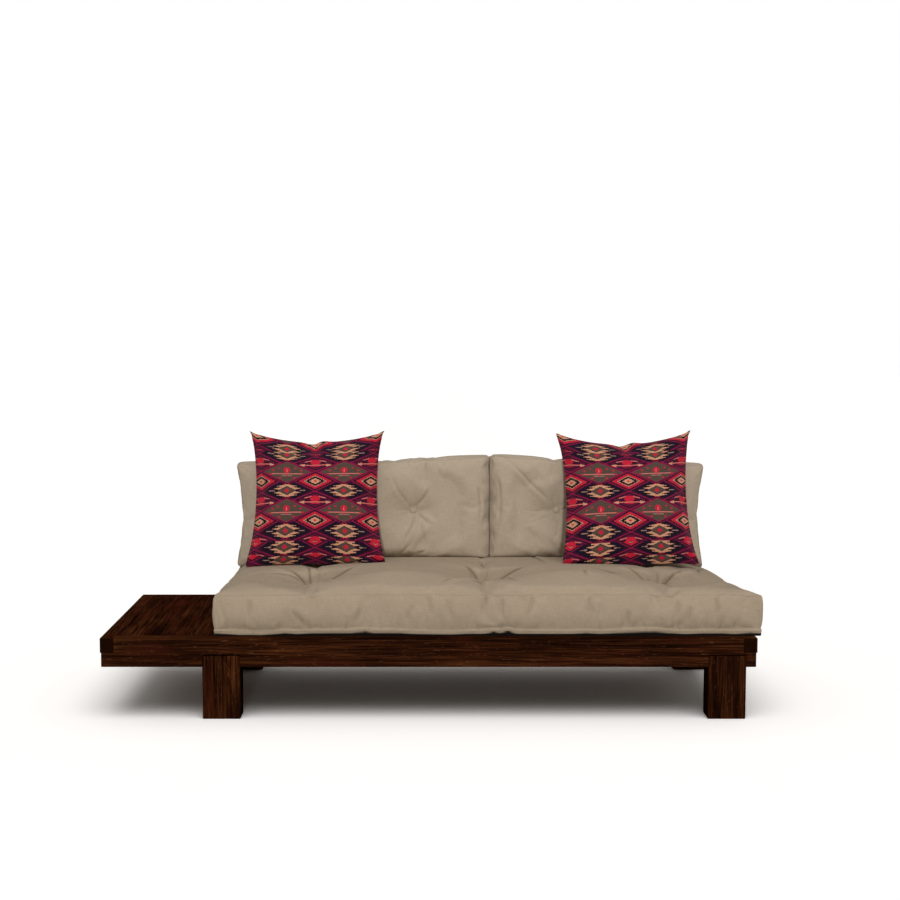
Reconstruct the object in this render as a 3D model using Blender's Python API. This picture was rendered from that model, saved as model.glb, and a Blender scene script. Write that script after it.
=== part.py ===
"""Low divan bench: a dark stained pine platform with a boarded side table at its left end, a tufted
futon mattress, two tufted back cushions and two woven throw pillows.

Metres, +Z up. The bench faces -Y, the side table is at -X and the floor is z = 0.
"""

import math

import bmesh
import bpy
from mathutils import Matrix, Vector

# Fits
CLEARANCE = 0.0003
SOFT_CLEARANCE = 0.0005

# How finely round and soft shapes are divided
ROD_SIDES = 16
BOLT_SIDES = 12
BUTTON_SIDES = 14
BUTTON_DOME_STEPS = 4
END_CROWDING = 0.25
TURNED_SMOOTH_ANGLE = 35.0
SOFT_SMOOTH_ANGLE = 60.0

# Platform
FRAME_LENGTH = 2.400
FRAME_DEPTH = 0.900
FRAME_HEIGHT = 0.300
RAIL_HEIGHT = 0.107
RAIL_THICKNESS = 0.050
LAP_HEIGHT = 0.054
LAP_REVEAL = 0.004
ARRIS = 0.0018

# Legs, which straddle the long rails
LEG_WIDTH = 0.138
LEG_DEPTH = 0.100
LEG_LAP = 0.042
TONGUE_THICKNESS = 0.020
SHADOW_GAP = 0.003
LEG_INSET_TABLE_END = 0.373
LEG_INSET_SEAT_END = 0.040
LEG_ARRIS = 0.0025

# Fasteners
BOLT_DIAMETER = 0.010
BOLT_BITE = 0.024
BOLT_SPACING = 0.070
BOLT_HEAD_ACROSS_CORNERS = 0.0185
BOLT_HEAD_HEIGHT = 0.0064
WASHER_DIAMETER = 0.024
BOLT_POINT = 0.002
WASHER_THICKNESS = 0.002
DOWEL_DIAMETER = 0.012
DOWEL_LENGTH = 0.070
DOWEL_EASE = 0.0015

# Boards and what carries them
BOARD_THICKNESS = 0.022
TABLE_BOARD_COUNT = 5
TABLE_BOARD_WIDTH = 0.087
TABLE_BOARD_GAP = 0.0006
SLAT_COUNT = 15
SLAT_WIDTH = 0.075
LEDGER_HEIGHT = 0.040
LEDGER_DEPTH = 0.030

# Mattress
MATTRESS_LENGTH = 2.018
MATTRESS_DEPTH = 0.844
MATTRESS_EDGE_HEIGHT = 0.153
MATTRESS_OVERHANG = 0.026
MATTRESS_SETBACK = 0.036
MATTRESS_CROWN = 0.033
MATTRESS_CROWN_POWER_X = 4
MATTRESS_CROWN_POWER_Y = 6
MATTRESS_SIDE_SWELL = 0.007
MATTRESS_DRAW_IN = 0.007
MATTRESS_SLUMP_TABLE_END = 0.045
MATTRESS_SLUMP_SEAT_END = 0.075
MATTRESS_SHOULDER_TABLE_END = 30
MATTRESS_SHOULDER_SEAT_END = 12
MATTRESS_COLUMNS = 36
MATTRESS_ROWS = 16
MATTRESS_TUFT_COLUMNS = (-1, 0, 1)
MATTRESS_TUFT_ROWS = (-0.5, 0.5)
MATTRESS_TUFT_SPACING_X = 0.658
MATTRESS_TUFT_SPACING_Y = 0.256
MATTRESS_TUFT_DEPTH = 0.026
MATTRESS_TUFT_RADIUS = 0.070

# Back cushions
BACK_HEIGHT = 0.433
BACK_THICKNESS = 0.140
BACK_EDGE_THICKNESS = 0.086
BACK_CROWN_POWER_X = 6
BACK_CROWN_POWER_Z = 4
BACK_DRAW_IN = 0.010
BACK_OUTER_DRAW_IN = 0.024
BACK_INNER_DRAW_IN = 0.001
BACK_SIDE_SWELL = 0.006
BACK_LEFT_WIDTH = 1.038
BACK_RIGHT_WIDTH = 0.878
BACK_LEFT_INSET = 0.007
BACK_GAP = 0.001
BACK_LEFT_TUFT_INSET = 0.313
BACK_RIGHT_TUFT_INSET = 0.274
BACK_TUFT_DEPTH = 0.034
BACK_TUFT_RADIUS = 0.075
BACK_SINK = 0.025
BACK_LEFT_DROP = 0.030
BACK_RIGHT_DROP = 0.040
BACK_LEAN = 2.0
BACK_COLUMNS = 22
BACK_ROWS = 8
BUTTON_DIAMETER = 0.024
BUTTON_HEIGHT = 0.007
BUTTON_SEAT = 0.002

# Throw pillows
PILLOW_SIZE = 0.540
PILLOW_THICKNESS = 0.150
PILLOW_FULLNESS = 0.6
PILLOW_DRAW_IN = 0.026
PILLOW_FOOT_DRAW_IN = 0.008
PILLOW_TOP_SAG = 0.022
PILLOW_SEAM = 0.003
PILLOW_LEAN = 13.0
PILLOW_LEFT_ROLL = 0.5
PILLOW_RIGHT_ROLL = -1.3
PILLOW_LEFT_INSET = 0.335
PILLOW_RIGHT_INSET = 0.332
PILLOW_SINK = 0.010
PILLOW_FOOT_SINK = 0.004
PILLOW_CELLS = 16

# Places that follow from the sizes above, measured from the middle of the frame
FRAME_CENTRE_X = -MATTRESS_OVERHANG / 2
FRONT_Y = -FRAME_DEPTH / 2
REAR_Y = FRAME_DEPTH / 2
FRAME_END_X = FRAME_LENGTH / 2
RAIL_BOTTOM = FRAME_HEIGHT - RAIL_HEIGHT
RAIL_MIDDLE = FRAME_HEIGHT - RAIL_HEIGHT / 2
LAP_Z = FRAME_HEIGHT - LAP_HEIGHT
LEG_HEIGHT = RAIL_BOTTOM + LEG_LAP
LEG_CENTRES_X = (
    -FRAME_END_X + LEG_INSET_TABLE_END + LEG_WIDTH / 2,
    FRAME_END_X - LEG_INSET_SEAT_END - LEG_WIDTH / 2,
)
BOLT_Z = RAIL_BOTTOM + LEG_LAP / 2
BOARD_BOTTOM = FRAME_HEIGHT - BOARD_THICKNESS
MATTRESS_BASE = FRAME_HEIGHT + CLEARANCE
MATTRESS_CENTRE_X = FRAME_END_X + MATTRESS_OVERHANG - MATTRESS_LENGTH / 2
MATTRESS_CENTRE_Y = FRONT_Y + MATTRESS_SETBACK + MATTRESS_DEPTH / 2
MATTRESS_LEFT_X = MATTRESS_CENTRE_X - MATTRESS_LENGTH / 2
MATTRESS_REAR_Y = MATTRESS_CENTRE_Y + MATTRESS_DEPTH / 2
BACK_LEFT_CENTRE_X = MATTRESS_LEFT_X + BACK_LEFT_INSET + BACK_LEFT_WIDTH / 2
BACK_RIGHT_CENTRE_X = BACK_LEFT_CENTRE_X + (BACK_LEFT_WIDTH + BACK_RIGHT_WIDTH) / 2 + BACK_GAP
BACK_CENTRE_Y = MATTRESS_REAR_Y - BACK_THICKNESS / 2


def clear_scene():
    """Remove whatever the scene holds."""
    for item in list(bpy.data.objects):
        bpy.data.objects.remove(item, do_unlink=True)


def finish(name, colour, roughness, metallic=0.0):
    """A plain surface finish."""
    material = bpy.data.materials.new(name)
    material.use_nodes = True
    shader = material.node_tree.nodes["Principled BSDF"]
    shader.inputs["Base Color"].default_value = (*colour, 1.0)
    shader.inputs["Roughness"].default_value = roughness
    shader.inputs["Metallic"].default_value = metallic
    return material


def mesh_from(name, shape, smooth_angle=None):
    """Turn a finished bmesh into a mesh whose faces point out."""
    bmesh.ops.recalc_face_normals(shape, faces=shape.faces[:])
    mesh = bpy.data.meshes.new(name)
    shape.to_mesh(mesh)
    shape.free()
    if smooth_angle is not None:
        mesh.shade_smooth()
        mesh.set_sharp_from_angle(angle=smooth_angle)
    return mesh


def place(name, mesh, parent, location=(0.0, 0.0, 0.0), rotation=(0.0, 0.0, 0.0), material=None):
    """Put a mesh in the scene as a named piece."""
    piece = bpy.data.objects.new(name, mesh)
    bpy.context.scene.collection.objects.link(piece)
    piece.parent = parent
    piece.location = location
    piece.rotation_euler = rotation
    if material is not None and not mesh.materials:
        mesh.materials.append(material)
    return piece


def place_cutter(name, mesh, parent, location=(0.0, 0.0, 0.0), rotation=(0.0, 0.0, 0.0)):
    """Put a mesh in the scene as a tool that only cuts."""
    tool = place(name, mesh, parent, location, rotation)
    tool.hide_render = True
    tool.display_type = "WIRE"
    return tool


def cut(piece, tool):
    """Take the tool's shape out of the piece."""
    modifier = piece.modifiers.new(tool.name, "BOOLEAN")
    modifier.operation = "DIFFERENCE"
    modifier.solver = "EXACT"
    modifier.object = tool


def timber_mesh(name, size, arris):
    """A sawn length of timber, centred, with its arrises taken off."""
    shape = bmesh.new()
    bmesh.ops.create_cube(shape, size=1.0)
    bmesh.ops.scale(shape, vec=Vector(size), verts=shape.verts[:])
    bmesh.ops.bevel(shape, geom=shape.edges[:], offset=arris, segments=1, affect="EDGES")
    return mesh_from(name, shape)


def boxes_mesh(name, corners):
    """Separate boxes in one mesh, each given by its lowest and highest corner."""
    shape = bmesh.new()
    for low, high in corners:
        middle = (Vector(low) + Vector(high)) / 2
        size = Vector(high) - Vector(low)
        matrix = Matrix.Translation(middle) @ Matrix.Diagonal((*size, 1.0))
        bmesh.ops.create_cube(shape, size=1.0, matrix=matrix)
    return mesh_from(name, shape)


def rods_mesh(name, centres, radius, length, turn=None, sides=ROD_SIDES):
    """Separate round rods in one mesh, upright unless turned."""
    shape = bmesh.new()
    for centre in centres:
        matrix = Matrix.Translation(centre) @ (turn or Matrix.Identity(4))
        bmesh.ops.create_cone(
            shape,
            cap_ends=True,
            segments=sides,
            radius1=radius,
            radius2=radius,
            depth=length,
            matrix=matrix,
        )
    return mesh_from(name, shape)


def turned_mesh(name, profile, sides):
    """Turn a profile of (radius, height) points, whose ends lie on the axis, about Z."""
    shape = bmesh.new()
    points = [shape.verts.new((radius, 0.0, height)) for radius, height in profile]
    edges = [shape.edges.new(pair) for pair in zip(points, points[1:])]
    bmesh.ops.spin(
        shape,
        geom=points + edges,
        cent=(0.0, 0.0, 0.0),
        axis=(0.0, 0.0, 1.0),
        angle=math.tau,
        steps=sides,
        use_merge=True,
    )
    bmesh.ops.remove_doubles(shape, verts=shape.verts[:], dist=1e-6)
    return mesh_from(name, shape, smooth_angle=math.radians(TURNED_SMOOTH_ANGLE))


def build_long_rail(name, side, wood, frame):
    """A long rail: lower laps run to its ends and each leg's tongue is housed in its outer face."""
    length = FRAME_LENGTH - 2 * LAP_REVEAL
    centre = Vector((0.0, side * (REAR_Y - RAIL_THICKNESS / 2), RAIL_MIDDLE))
    mesh = timber_mesh(name, (length, RAIL_THICKNESS, RAIL_HEIGHT), ARRIS)
    rail = place(name, mesh, frame, centre, material=wood)

    inner_end = FRAME_END_X - RAIL_THICKNESS - CLEARANCE
    past = RAIL_THICKNESS
    notches = []
    for low_x, high_x in ((-FRAME_END_X - past, -inner_end), (inner_end, FRAME_END_X + past)):
        low = (low_x, centre.y - past, LAP_Z - CLEARANCE)
        high = (high_x, centre.y + past, FRAME_HEIGHT + past)
        notches.append((low, high))
    outer_y = side * REAR_Y
    housing_ends = sorted((outer_y + side * past, outer_y - side * (TONGUE_THICKNESS + CLEARANCE)))
    for leg_x in LEG_CENTRES_X:
        low = (leg_x - LEG_WIDTH / 2 - CLEARANCE, housing_ends[0], RAIL_BOTTOM - past)
        high = (leg_x + LEG_WIDTH / 2 + CLEARANCE, housing_ends[1], LEG_HEIGHT + SHADOW_GAP)
        notches.append((low, high))
    cut(rail, place_cutter(f"{name}_notches", boxes_mesh(f"{name}_notches", notches), frame))

    bolt_y = side * (REAR_Y - RAIL_THICKNESS)
    lengthwise = Matrix.Rotation(math.pi / 2, 4, "X")
    holes = [Vector((x, bolt_y, BOLT_Z)) for leg_x in LEG_CENTRES_X for x in bolt_places(leg_x)]
    bores = rods_mesh(
        f"{name}_bolt_holes",
        holes,
        BOLT_DIAMETER / 2 + CLEARANCE,
        2 * (BOLT_BITE + CLEARANCE),
        lengthwise,
    )
    cut(rail, place_cutter(f"{name}_bolt_holes", bores, frame))
    cut(rail, place_cutter(f"{name}_dowel_holes", dowel_holes_mesh(f"{name}_dowel_holes"), frame))
    return rail


def build_end_rail(name, side, wood, frame):
    """An end rail: its upper laps run through to the front and back faces of the platform."""
    centre_x = side * (FRAME_END_X - RAIL_THICKNESS / 2)
    mesh = timber_mesh(name, (RAIL_THICKNESS, FRAME_DEPTH, RAIL_HEIGHT), ARRIS)
    rail = place(name, mesh, frame, (centre_x, 0.0, RAIL_MIDDLE), material=wood)
    past = RAIL_THICKNESS
    inner_y = REAR_Y - RAIL_THICKNESS - CLEARANCE
    notches = []
    for low_y, high_y in ((-REAR_Y - past, -inner_y), (inner_y, REAR_Y + past)):
        low = (centre_x - past, low_y, RAIL_BOTTOM - past)
        high = (centre_x + past, high_y, LAP_Z)
        notches.append((low, high))
    cut(rail, place_cutter(f"{name}_laps", boxes_mesh(f"{name}_laps", notches), frame))
    cut(rail, place_cutter(f"{name}_dowel_holes", dowel_holes_mesh(f"{name}_dowel_holes"), frame))
    return rail


def dowel_places():
    """Where the dowels stand, one in the middle of each corner lap."""
    x = FRAME_END_X - RAIL_THICKNESS / 2
    y = REAR_Y - RAIL_THICKNESS / 2
    return {
        "front_left": Vector((-x, -y, LAP_Z)),
        "front_right": Vector((x, -y, LAP_Z)),
        "rear_left": Vector((-x, y, LAP_Z)),
        "rear_right": Vector((x, y, LAP_Z)),
    }


def dowel_holes_mesh(name):
    """Blind holes for all four corner dowels."""
    return rods_mesh(
        name,
        dowel_places().values(),
        DOWEL_DIAMETER / 2 + CLEARANCE,
        DOWEL_LENGTH + 2 * CLEARANCE,
    )


def build_dowels(wood, frame):
    """A dowel with eased ends for each corner lap."""
    radius = DOWEL_DIAMETER / 2
    half = DOWEL_LENGTH / 2
    profile = [(0.0, half), (radius - DOWEL_EASE, half), (radius, half - DOWEL_EASE)]
    profile += [(r, -z) for r, z in reversed(profile)]
    mesh = turned_mesh("corner_dowel", profile, ROD_SIDES)
    for corner, centre in dowel_places().items():
        place(f"dowel_{corner}", mesh, frame, centre, material=wood)


def bolt_places(leg_x):
    """The two bolts of a leg, by their place along the rail."""
    return (leg_x - BOLT_SPACING / 2, leg_x + BOLT_SPACING / 2)


def leg_mesh():
    """A leg blank, centred, with its front at -Y."""
    return timber_mesh("leg", (LEG_WIDTH, LEG_DEPTH, LEG_HEIGHT), LEG_ARRIS)


def leg_saddle_mesh():
    """The slot in a leg's top that the long rail sits in."""
    past = RAIL_THICKNESS
    low = (
        -LEG_WIDTH / 2 - past,
        -LEG_DEPTH / 2 + TONGUE_THICKNESS,
        RAIL_BOTTOM - CLEARANCE - LEG_HEIGHT / 2,
    )
    high = (
        LEG_WIDTH / 2 + past,
        -LEG_DEPTH / 2 + RAIL_THICKNESS + CLEARANCE,
        LEG_HEIGHT / 2 + past,
    )
    return boxes_mesh("leg_saddle", [(low, high)])


def leg_holes_mesh():
    """Clearance holes for a leg's two bolts, through its inner cheek."""
    lengthwise = Matrix.Rotation(math.pi / 2, 4, "X")
    past_cheek = LEG_DEPTH - RAIL_THICKNESS + BOLT_DIAMETER
    centres = [Vector((x, LEG_DEPTH / 2, BOLT_Z - LEG_HEIGHT / 2)) for x in bolt_places(0.0)]
    radius = BOLT_DIAMETER / 2 + CLEARANCE
    return rods_mesh("leg_bolt_holes", centres, radius, 2 * past_cheek, lengthwise)


def leg_relief_mesh():
    """The space behind the long rails that the end rails take, which a leg near them gives way to."""
    past = LEG_DEPTH
    inner_x = FRAME_END_X - RAIL_THICKNESS - CLEARANCE
    inner_y = REAR_Y - RAIL_THICKNESS
    corners = []
    for low_x, high_x in ((-FRAME_END_X - past, -inner_x), (inner_x, FRAME_END_X + past)):
        low = (low_x, -inner_y, RAIL_BOTTOM - CLEARANCE)
        high = (high_x, inner_y, FRAME_HEIGHT + past)
        corners.append((low, high))
    return boxes_mesh("end_rail_relief", corners)


def build_legs(wood, steel, frame):
    """Four alike legs, the rear ones turned about, each with two bolts through its inner cheek."""
    blank = leg_mesh()
    saddle = leg_saddle_mesh()
    holes = leg_holes_mesh()
    bolt = bolt_mesh()
    relief = place_cutter("end_rail_relief", leg_relief_mesh(), frame)
    for row, side in (("front", -1), ("rear", 1)):
        turn = (0.0, 0.0, math.pi if side > 0 else 0.0)
        for hand, leg_x in zip(("left", "right"), LEG_CENTRES_X):
            name = f"leg_{row}_{hand}"
            centre = (leg_x, side * (REAR_Y - LEG_DEPTH / 2), LEG_HEIGHT / 2)
            leg = place(name, blank, frame, centre, turn, wood)
            cut(leg, place_cutter(f"{name}_saddle", saddle, frame, centre, turn))
            cut(leg, place_cutter(f"{name}_bolt_holes", holes, frame, centre, turn))
            cut(leg, relief)
            head_y = side * (REAR_Y - LEG_DEPTH - CLEARANCE)
            for end, bolt_x in zip(("a", "b"), bolt_places(leg_x)):
                turn_in = (-side * math.pi / 2, 0.0, 0.0)
                place(f"bolt_{row}_{hand}_{end}", bolt, frame, (bolt_x, head_y, BOLT_Z), turn_in, steel)


def bolt_mesh():
    """A hexagon bolt with its washer; the seat under the washer is z = 0 and the shank runs up."""
    shank = LEG_DEPTH - RAIL_THICKNESS + BOLT_BITE
    radius = BOLT_DIAMETER / 2
    washer = WASHER_DIAMETER / 2
    head = BOLT_HEAD_ACROSS_CORNERS / 2
    shape = bmesh.new()
    rings = [
        (head, -WASHER_THICKNESS - BOLT_HEAD_HEIGHT),
        (head, -WASHER_THICKNESS),
        (washer, -WASHER_THICKNESS),
        (washer, 0.0),
        (radius, 0.0),
        (radius, shank - BOLT_POINT),
        (radius - BOLT_POINT, shank),
    ]
    head_rings = 2
    loops = []
    for index, (reach, height) in enumerate(rings):
        loop = []
        for step in range(BOLT_SIDES):
            angle = math.tau * step / BOLT_SIDES
            flat = math.cos(math.pi / 6) if index < head_rings and step % 2 else 1.0
            x = reach * flat * math.cos(angle)
            y = reach * flat * math.sin(angle)
            loop.append(shape.verts.new((x, y, height)))
        loops.append(loop)
    for lower, upper in zip(loops, loops[1:]):
        for step in range(BOLT_SIDES):
            after = (step + 1) % BOLT_SIDES
            shape.faces.new((lower[step], lower[after], upper[after], upper[step]))
    shape.faces.new(loops[0])
    shape.faces.new(loops[-1])
    return mesh_from("leg_bolt", shape, smooth_angle=math.radians(TURNED_SMOOTH_ANGLE))


def build_ledgers(wood, frame):
    """The battens along the inner faces of the long rails that carry boards and slats."""
    length = FRAME_LENGTH - 2 * (RAIL_THICKNESS + CLEARANCE)
    mesh = timber_mesh("ledger", (length, LEDGER_DEPTH, LEDGER_HEIGHT), ARRIS)
    y = REAR_Y - RAIL_THICKNESS - CLEARANCE - LEDGER_DEPTH / 2
    z = BOARD_BOTTOM - CLEARANCE - LEDGER_HEIGHT / 2
    place("front_ledger", mesh, frame, (0.0, -y, z), material=wood)
    place("rear_ledger", mesh, frame, (0.0, y, z), material=wood)


def build_boards(wood, frame):
    """Close boards at the table end, then spaced slats under the mattress."""
    span = FRAME_DEPTH - 2 * (RAIL_THICKNESS + CLEARANCE)
    z = FRAME_HEIGHT - BOARD_THICKNESS / 2
    board = timber_mesh("table_board", (TABLE_BOARD_WIDTH, span, BOARD_THICKNESS), ARRIS)
    x = -FRAME_END_X + RAIL_THICKNESS + CLEARANCE
    for number in range(1, TABLE_BOARD_COUNT + 1):
        place(f"table_board_{number}", board, frame, (x + TABLE_BOARD_WIDTH / 2, 0.0, z), material=wood)
        x += TABLE_BOARD_WIDTH + TABLE_BOARD_GAP
    slat = timber_mesh("seat_slat", (SLAT_WIDTH, span, BOARD_THICKNESS), ARRIS)
    seat_end = FRAME_END_X - RAIL_THICKNESS
    gap = (seat_end - x - SLAT_COUNT * SLAT_WIDTH) / (SLAT_COUNT + 1)
    for number in range(1, SLAT_COUNT + 1):
        x += gap
        place(f"seat_slat_{number:02d}", slat, frame, (x + SLAT_WIDTH / 2, 0.0, z), material=wood)
        x += SLAT_WIDTH


def crowded(count):
    """Values from -1 to 1, closer together towards the ends."""
    steps = [2 * index / count - 1 for index in range(count + 1)]
    return [step * (1 + END_CROWDING - END_CROWDING * step * step) for step in steps]


def dimple(distance, radius, depth):
    """How far a sewn tuft draws the cover in at this distance from it."""
    return depth * math.exp(-((distance / radius) ** 2))


def pad_mesh(name, us, vs, upper, lower, rim):
    """A closed pad between two surfaces over the same grid, with one ring of points round its rim.

    upper and lower give a point for u and v from -1 to 1, and rim is how far the wall swells out
    between them. The faces are triangles, so that a swollen copy cuts just what the pad fills.
    """
    shape = bmesh.new()
    tops = [[shape.verts.new(upper(u, v)) for u in us] for v in vs]
    bottoms = [[shape.verts.new(lower(u, v)) for u in us] for v in vs]
    for rows in (tops, bottoms):
        for first, second in zip(rows, rows[1:]):
            for index in range(len(us) - 1):
                shape.faces.new((first[index], first[index + 1], second[index + 1], second[index]))
    top_loop = boundary(tops)
    bottom_loop = boundary(bottoms)
    centre = sum((vert.co for vert in top_loop), Vector()) / len(top_loop)
    middle = []
    for high, low in zip(top_loop, bottom_loop):
        point = (high.co + low.co) / 2
        across = (high.co - low.co).normalized()
        outward = high.co - centre
        outward -= across * outward.dot(across)
        middle.append(shape.verts.new(point + outward.normalized() * rim))
    count = len(top_loop)
    for first, second in ((top_loop, middle), (middle, bottom_loop)):
        for index in range(count):
            after = (index + 1) % count
            shape.faces.new((first[index], first[after], second[after], second[index]))
    bmesh.ops.triangulate(shape, faces=shape.faces[:])
    return mesh_from(name, shape, smooth_angle=math.radians(SOFT_SMOOTH_ANGLE))


def boundary(rows):
    """The points round the edge of a grid, in order."""
    right = [row[-1] for row in rows[1:-1]]
    left = [row[0] for row in rows[1:-1]]
    return rows[0] + right + rows[-1][::-1] + left[::-1]


def mattress_crown(u, v):
    """A point on the mattress's top without its tufts, relative to the middle of its underside."""
    x = u * (MATTRESS_LENGTH / 2 - MATTRESS_SIDE_SWELL - MATTRESS_DRAW_IN * (1 - v * v))
    y = v * (MATTRESS_DEPTH / 2 - MATTRESS_SIDE_SWELL - MATTRESS_DRAW_IN * (1 - u * u))
    fullness = (1 - u**MATTRESS_CROWN_POWER_X) * (1 - v**MATTRESS_CROWN_POWER_Y)
    z = MATTRESS_EDGE_HEIGHT + MATTRESS_CROWN * fullness
    slump = MATTRESS_SLUMP_SEAT_END if u > 0 else MATTRESS_SLUMP_TABLE_END
    shoulder = MATTRESS_SHOULDER_SEAT_END if u > 0 else MATTRESS_SHOULDER_TABLE_END
    towards_back = math.sqrt((1 + v) / 2)
    z -= slump * towards_back * abs(u) ** shoulder
    return Vector((x, y, z))


def mattress_top(u, v):
    """A point on the mattress's top, drawn down at each tuft."""
    point = mattress_crown(u, v)
    for column in MATTRESS_TUFT_COLUMNS:
        for row in MATTRESS_TUFT_ROWS:
            from_x = point.x - column * MATTRESS_TUFT_SPACING_X
            from_y = point.y - row * MATTRESS_TUFT_SPACING_Y
            away = math.hypot(from_x, from_y)
            point.z -= dimple(away, MATTRESS_TUFT_RADIUS, MATTRESS_TUFT_DEPTH)
    return point


def mattress_height_at(x, y):
    """Height of the mattress's crown at a place measured from the middle of the frame."""
    u = (x - MATTRESS_CENTRE_X) / (MATTRESS_LENGTH / 2)
    v = (y - MATTRESS_CENTRE_Y) / (MATTRESS_DEPTH / 2)
    return MATTRESS_BASE + mattress_crown(u, v).z


def mattress_bottom(u, v):
    """The point of the flat underside below a point of the top."""
    point = mattress_top(u, v)
    return Vector((point.x, point.y, 0.0))


def build_mattress(cotton, frame):
    """The tufted mattress, flat below, crowned above and slumped towards the back at its ends."""
    us = crowded(MATTRESS_COLUMNS)
    vs = crowded(MATTRESS_ROWS)
    mesh = pad_mesh("mattress", us, vs, mattress_top, mattress_bottom, MATTRESS_SIDE_SWELL)
    location = (MATTRESS_CENTRE_X, MATTRESS_CENTRE_Y, MATTRESS_BASE)
    return place("mattress", mesh, frame, location, material=cotton)


def swollen_tool(piece, frame):
    """A copy of a soft piece, a clearance larger all round, to cut what leans on it."""
    tool = place_cutter(f"{piece.name}_impression", piece.data, frame, piece.location, piece.rotation_euler)
    for modifier in piece.modifiers:
        cut(tool, modifier.object)
    swell = tool.modifiers.new("clearance", "DISPLACE")
    swell.strength = SOFT_CLEARANCE
    swell.mid_level = 0.0
    return tool


def back_cushion_face(width, tuft_inset, rise, side):
    """The function for a back cushion's front (side -1) or rear (side 1) cover, standing on z = 0.

    rise is how much its right end stands above its left end. The inner end is the higher one.
    """
    tuft_x = width / 2 - tuft_inset

    def face(u, v):
        end_draw_in = BACK_INNER_DRAW_IN if u * rise > 0 else BACK_OUTER_DRAW_IN
        x = u * (width / 2 - BACK_SIDE_SWELL - end_draw_in * (1 - v * v))
        z = v * (BACK_HEIGHT / 2 - BACK_SIDE_SWELL - BACK_DRAW_IN * (1 - u * u)) + BACK_HEIGHT / 2
        fullness = math.sqrt((1 - u**BACK_CROWN_POWER_X) * (1 - v**BACK_CROWN_POWER_Z))
        crown = (BACK_THICKNESS - BACK_EDGE_THICKNESS) * fullness
        depth = (BACK_EDGE_THICKNESS + crown) / 2
        for tuft in (-tuft_x, tuft_x):
            away = math.hypot(x - tuft, z - BACK_HEIGHT / 2)
            depth -= dimple(away, BACK_TUFT_RADIUS, BACK_TUFT_DEPTH)
        return Vector((x, side * depth, z + rise * x / width))

    return face


def button_mesh():
    """A covered button, domed on its face, whose seat is z = 0."""
    radius = BUTTON_DIAMETER / 2
    crown = BUTTON_HEIGHT - BUTTON_SEAT
    dome = []
    for step in range(1, BUTTON_DOME_STEPS):
        angle = math.pi / 2 * step / BUTTON_DOME_STEPS
        dome.append((radius * math.sin(angle), BUTTON_SEAT + crown * math.cos(angle)))
    profile = [(0.0, BUTTON_HEIGHT)] + dome + [(radius, BUTTON_SEAT), (radius, 0.0), (0.0, 0.0)]
    return turned_mesh("tuft_button", profile, BUTTON_SIDES)


def build_back_cushion(hand, width, tuft_inset, rise, centre_x, cotton, frame, impression):
    """A back cushion that sinks a little into the mattress, with a button on each side of each tuft."""
    name = f"back_cushion_{hand}"
    us = crowded(BACK_COLUMNS)
    vs = crowded(BACK_ROWS)
    front = back_cushion_face(width, tuft_inset, rise, -1)
    rear = back_cushion_face(width, tuft_inset, rise, 1)
    mesh = pad_mesh(name, us, vs, front, rear, BACK_SIDE_SWELL)
    rotation = (-math.radians(BACK_LEAN), 0.0, 0.0)
    foot = mattress_height_at(centre_x, BACK_CENTRE_Y) - BACK_SINK
    location = Vector((centre_x, BACK_CENTRE_Y, foot))
    cushion = place(name, mesh, frame, location, rotation, cotton)
    cut(cushion, impression)

    button = button_mesh()
    pose = Matrix.LocRotScale(location, cushion.rotation_euler, None)
    tuft_x = width / 2 - tuft_inset
    seat = BACK_THICKNESS / 2 - BACK_TUFT_DEPTH - BUTTON_SEAT
    for end, x in (("left", -tuft_x), ("right", tuft_x)):
        for face_name, side in (("front", -1), ("rear", 1)):
            node = f"button_{hand}_cushion_{end}_{face_name}"
            seat_at = Matrix.Translation((x, side * seat, BACK_HEIGHT / 2 + rise * x / width))
            face_out = Matrix.Rotation(-side * math.pi / 2, 4, "X")
            socket = pose @ seat_at @ face_out
            held = socket @ Matrix.Translation((0.0, 0.0, CLEARANCE))
            place(node, button, frame, held.translation, held.to_euler(), cotton)
            well = button_well_mesh(f"{node}_well")
            cut(cushion, place_cutter(well.name, well, frame, socket.translation, socket.to_euler()))
    return cushion


def button_well_mesh(name):
    """The space that a button takes out of the cushion, from its seat outwards."""
    centre = Vector((0.0, 0.0, BACK_TUFT_DEPTH))
    radius = BUTTON_DIAMETER / 2 + CLEARANCE
    return rods_mesh(name, [centre], radius, 2 * BACK_TUFT_DEPTH, sides=BUTTON_SIDES)


def pillow_face(side):
    """The function for a throw pillow's front (side -1) or rear (side 1) cover, centred."""
    half = PILLOW_SIZE / 2

    def face(u, v):
        edge_draw_in = PILLOW_DRAW_IN if v > 0 else PILLOW_FOOT_DRAW_IN
        x = u * (half - PILLOW_DRAW_IN * (1 - v * v))
        z = v * (half - edge_draw_in * (1 - u * u))
        z -= PILLOW_TOP_SAG * (1 - u * u) * max(v, 0.0) ** 3
        bulge = (1 - u * u) * (1 - v * v)
        depth = PILLOW_SEAM / 2 + (PILLOW_THICKNESS - PILLOW_SEAM) / 2 * bulge**PILLOW_FULLNESS
        return Vector((x, side * depth, z))

    return face


def pillow_reach():
    """How far a leaning pillow's rear cover reaches behind its middle, below a back cushion's top."""
    rear = pillow_face(1)
    tilt = Matrix.Rotation(-math.radians(PILLOW_LEAN), 3, "X")
    points = [tilt @ rear(0.0, v) for v in crowded(PILLOW_CELLS)]
    return max(point.y for point in points if point.z < BACK_HEIGHT - PILLOW_SIZE / 2)


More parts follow.
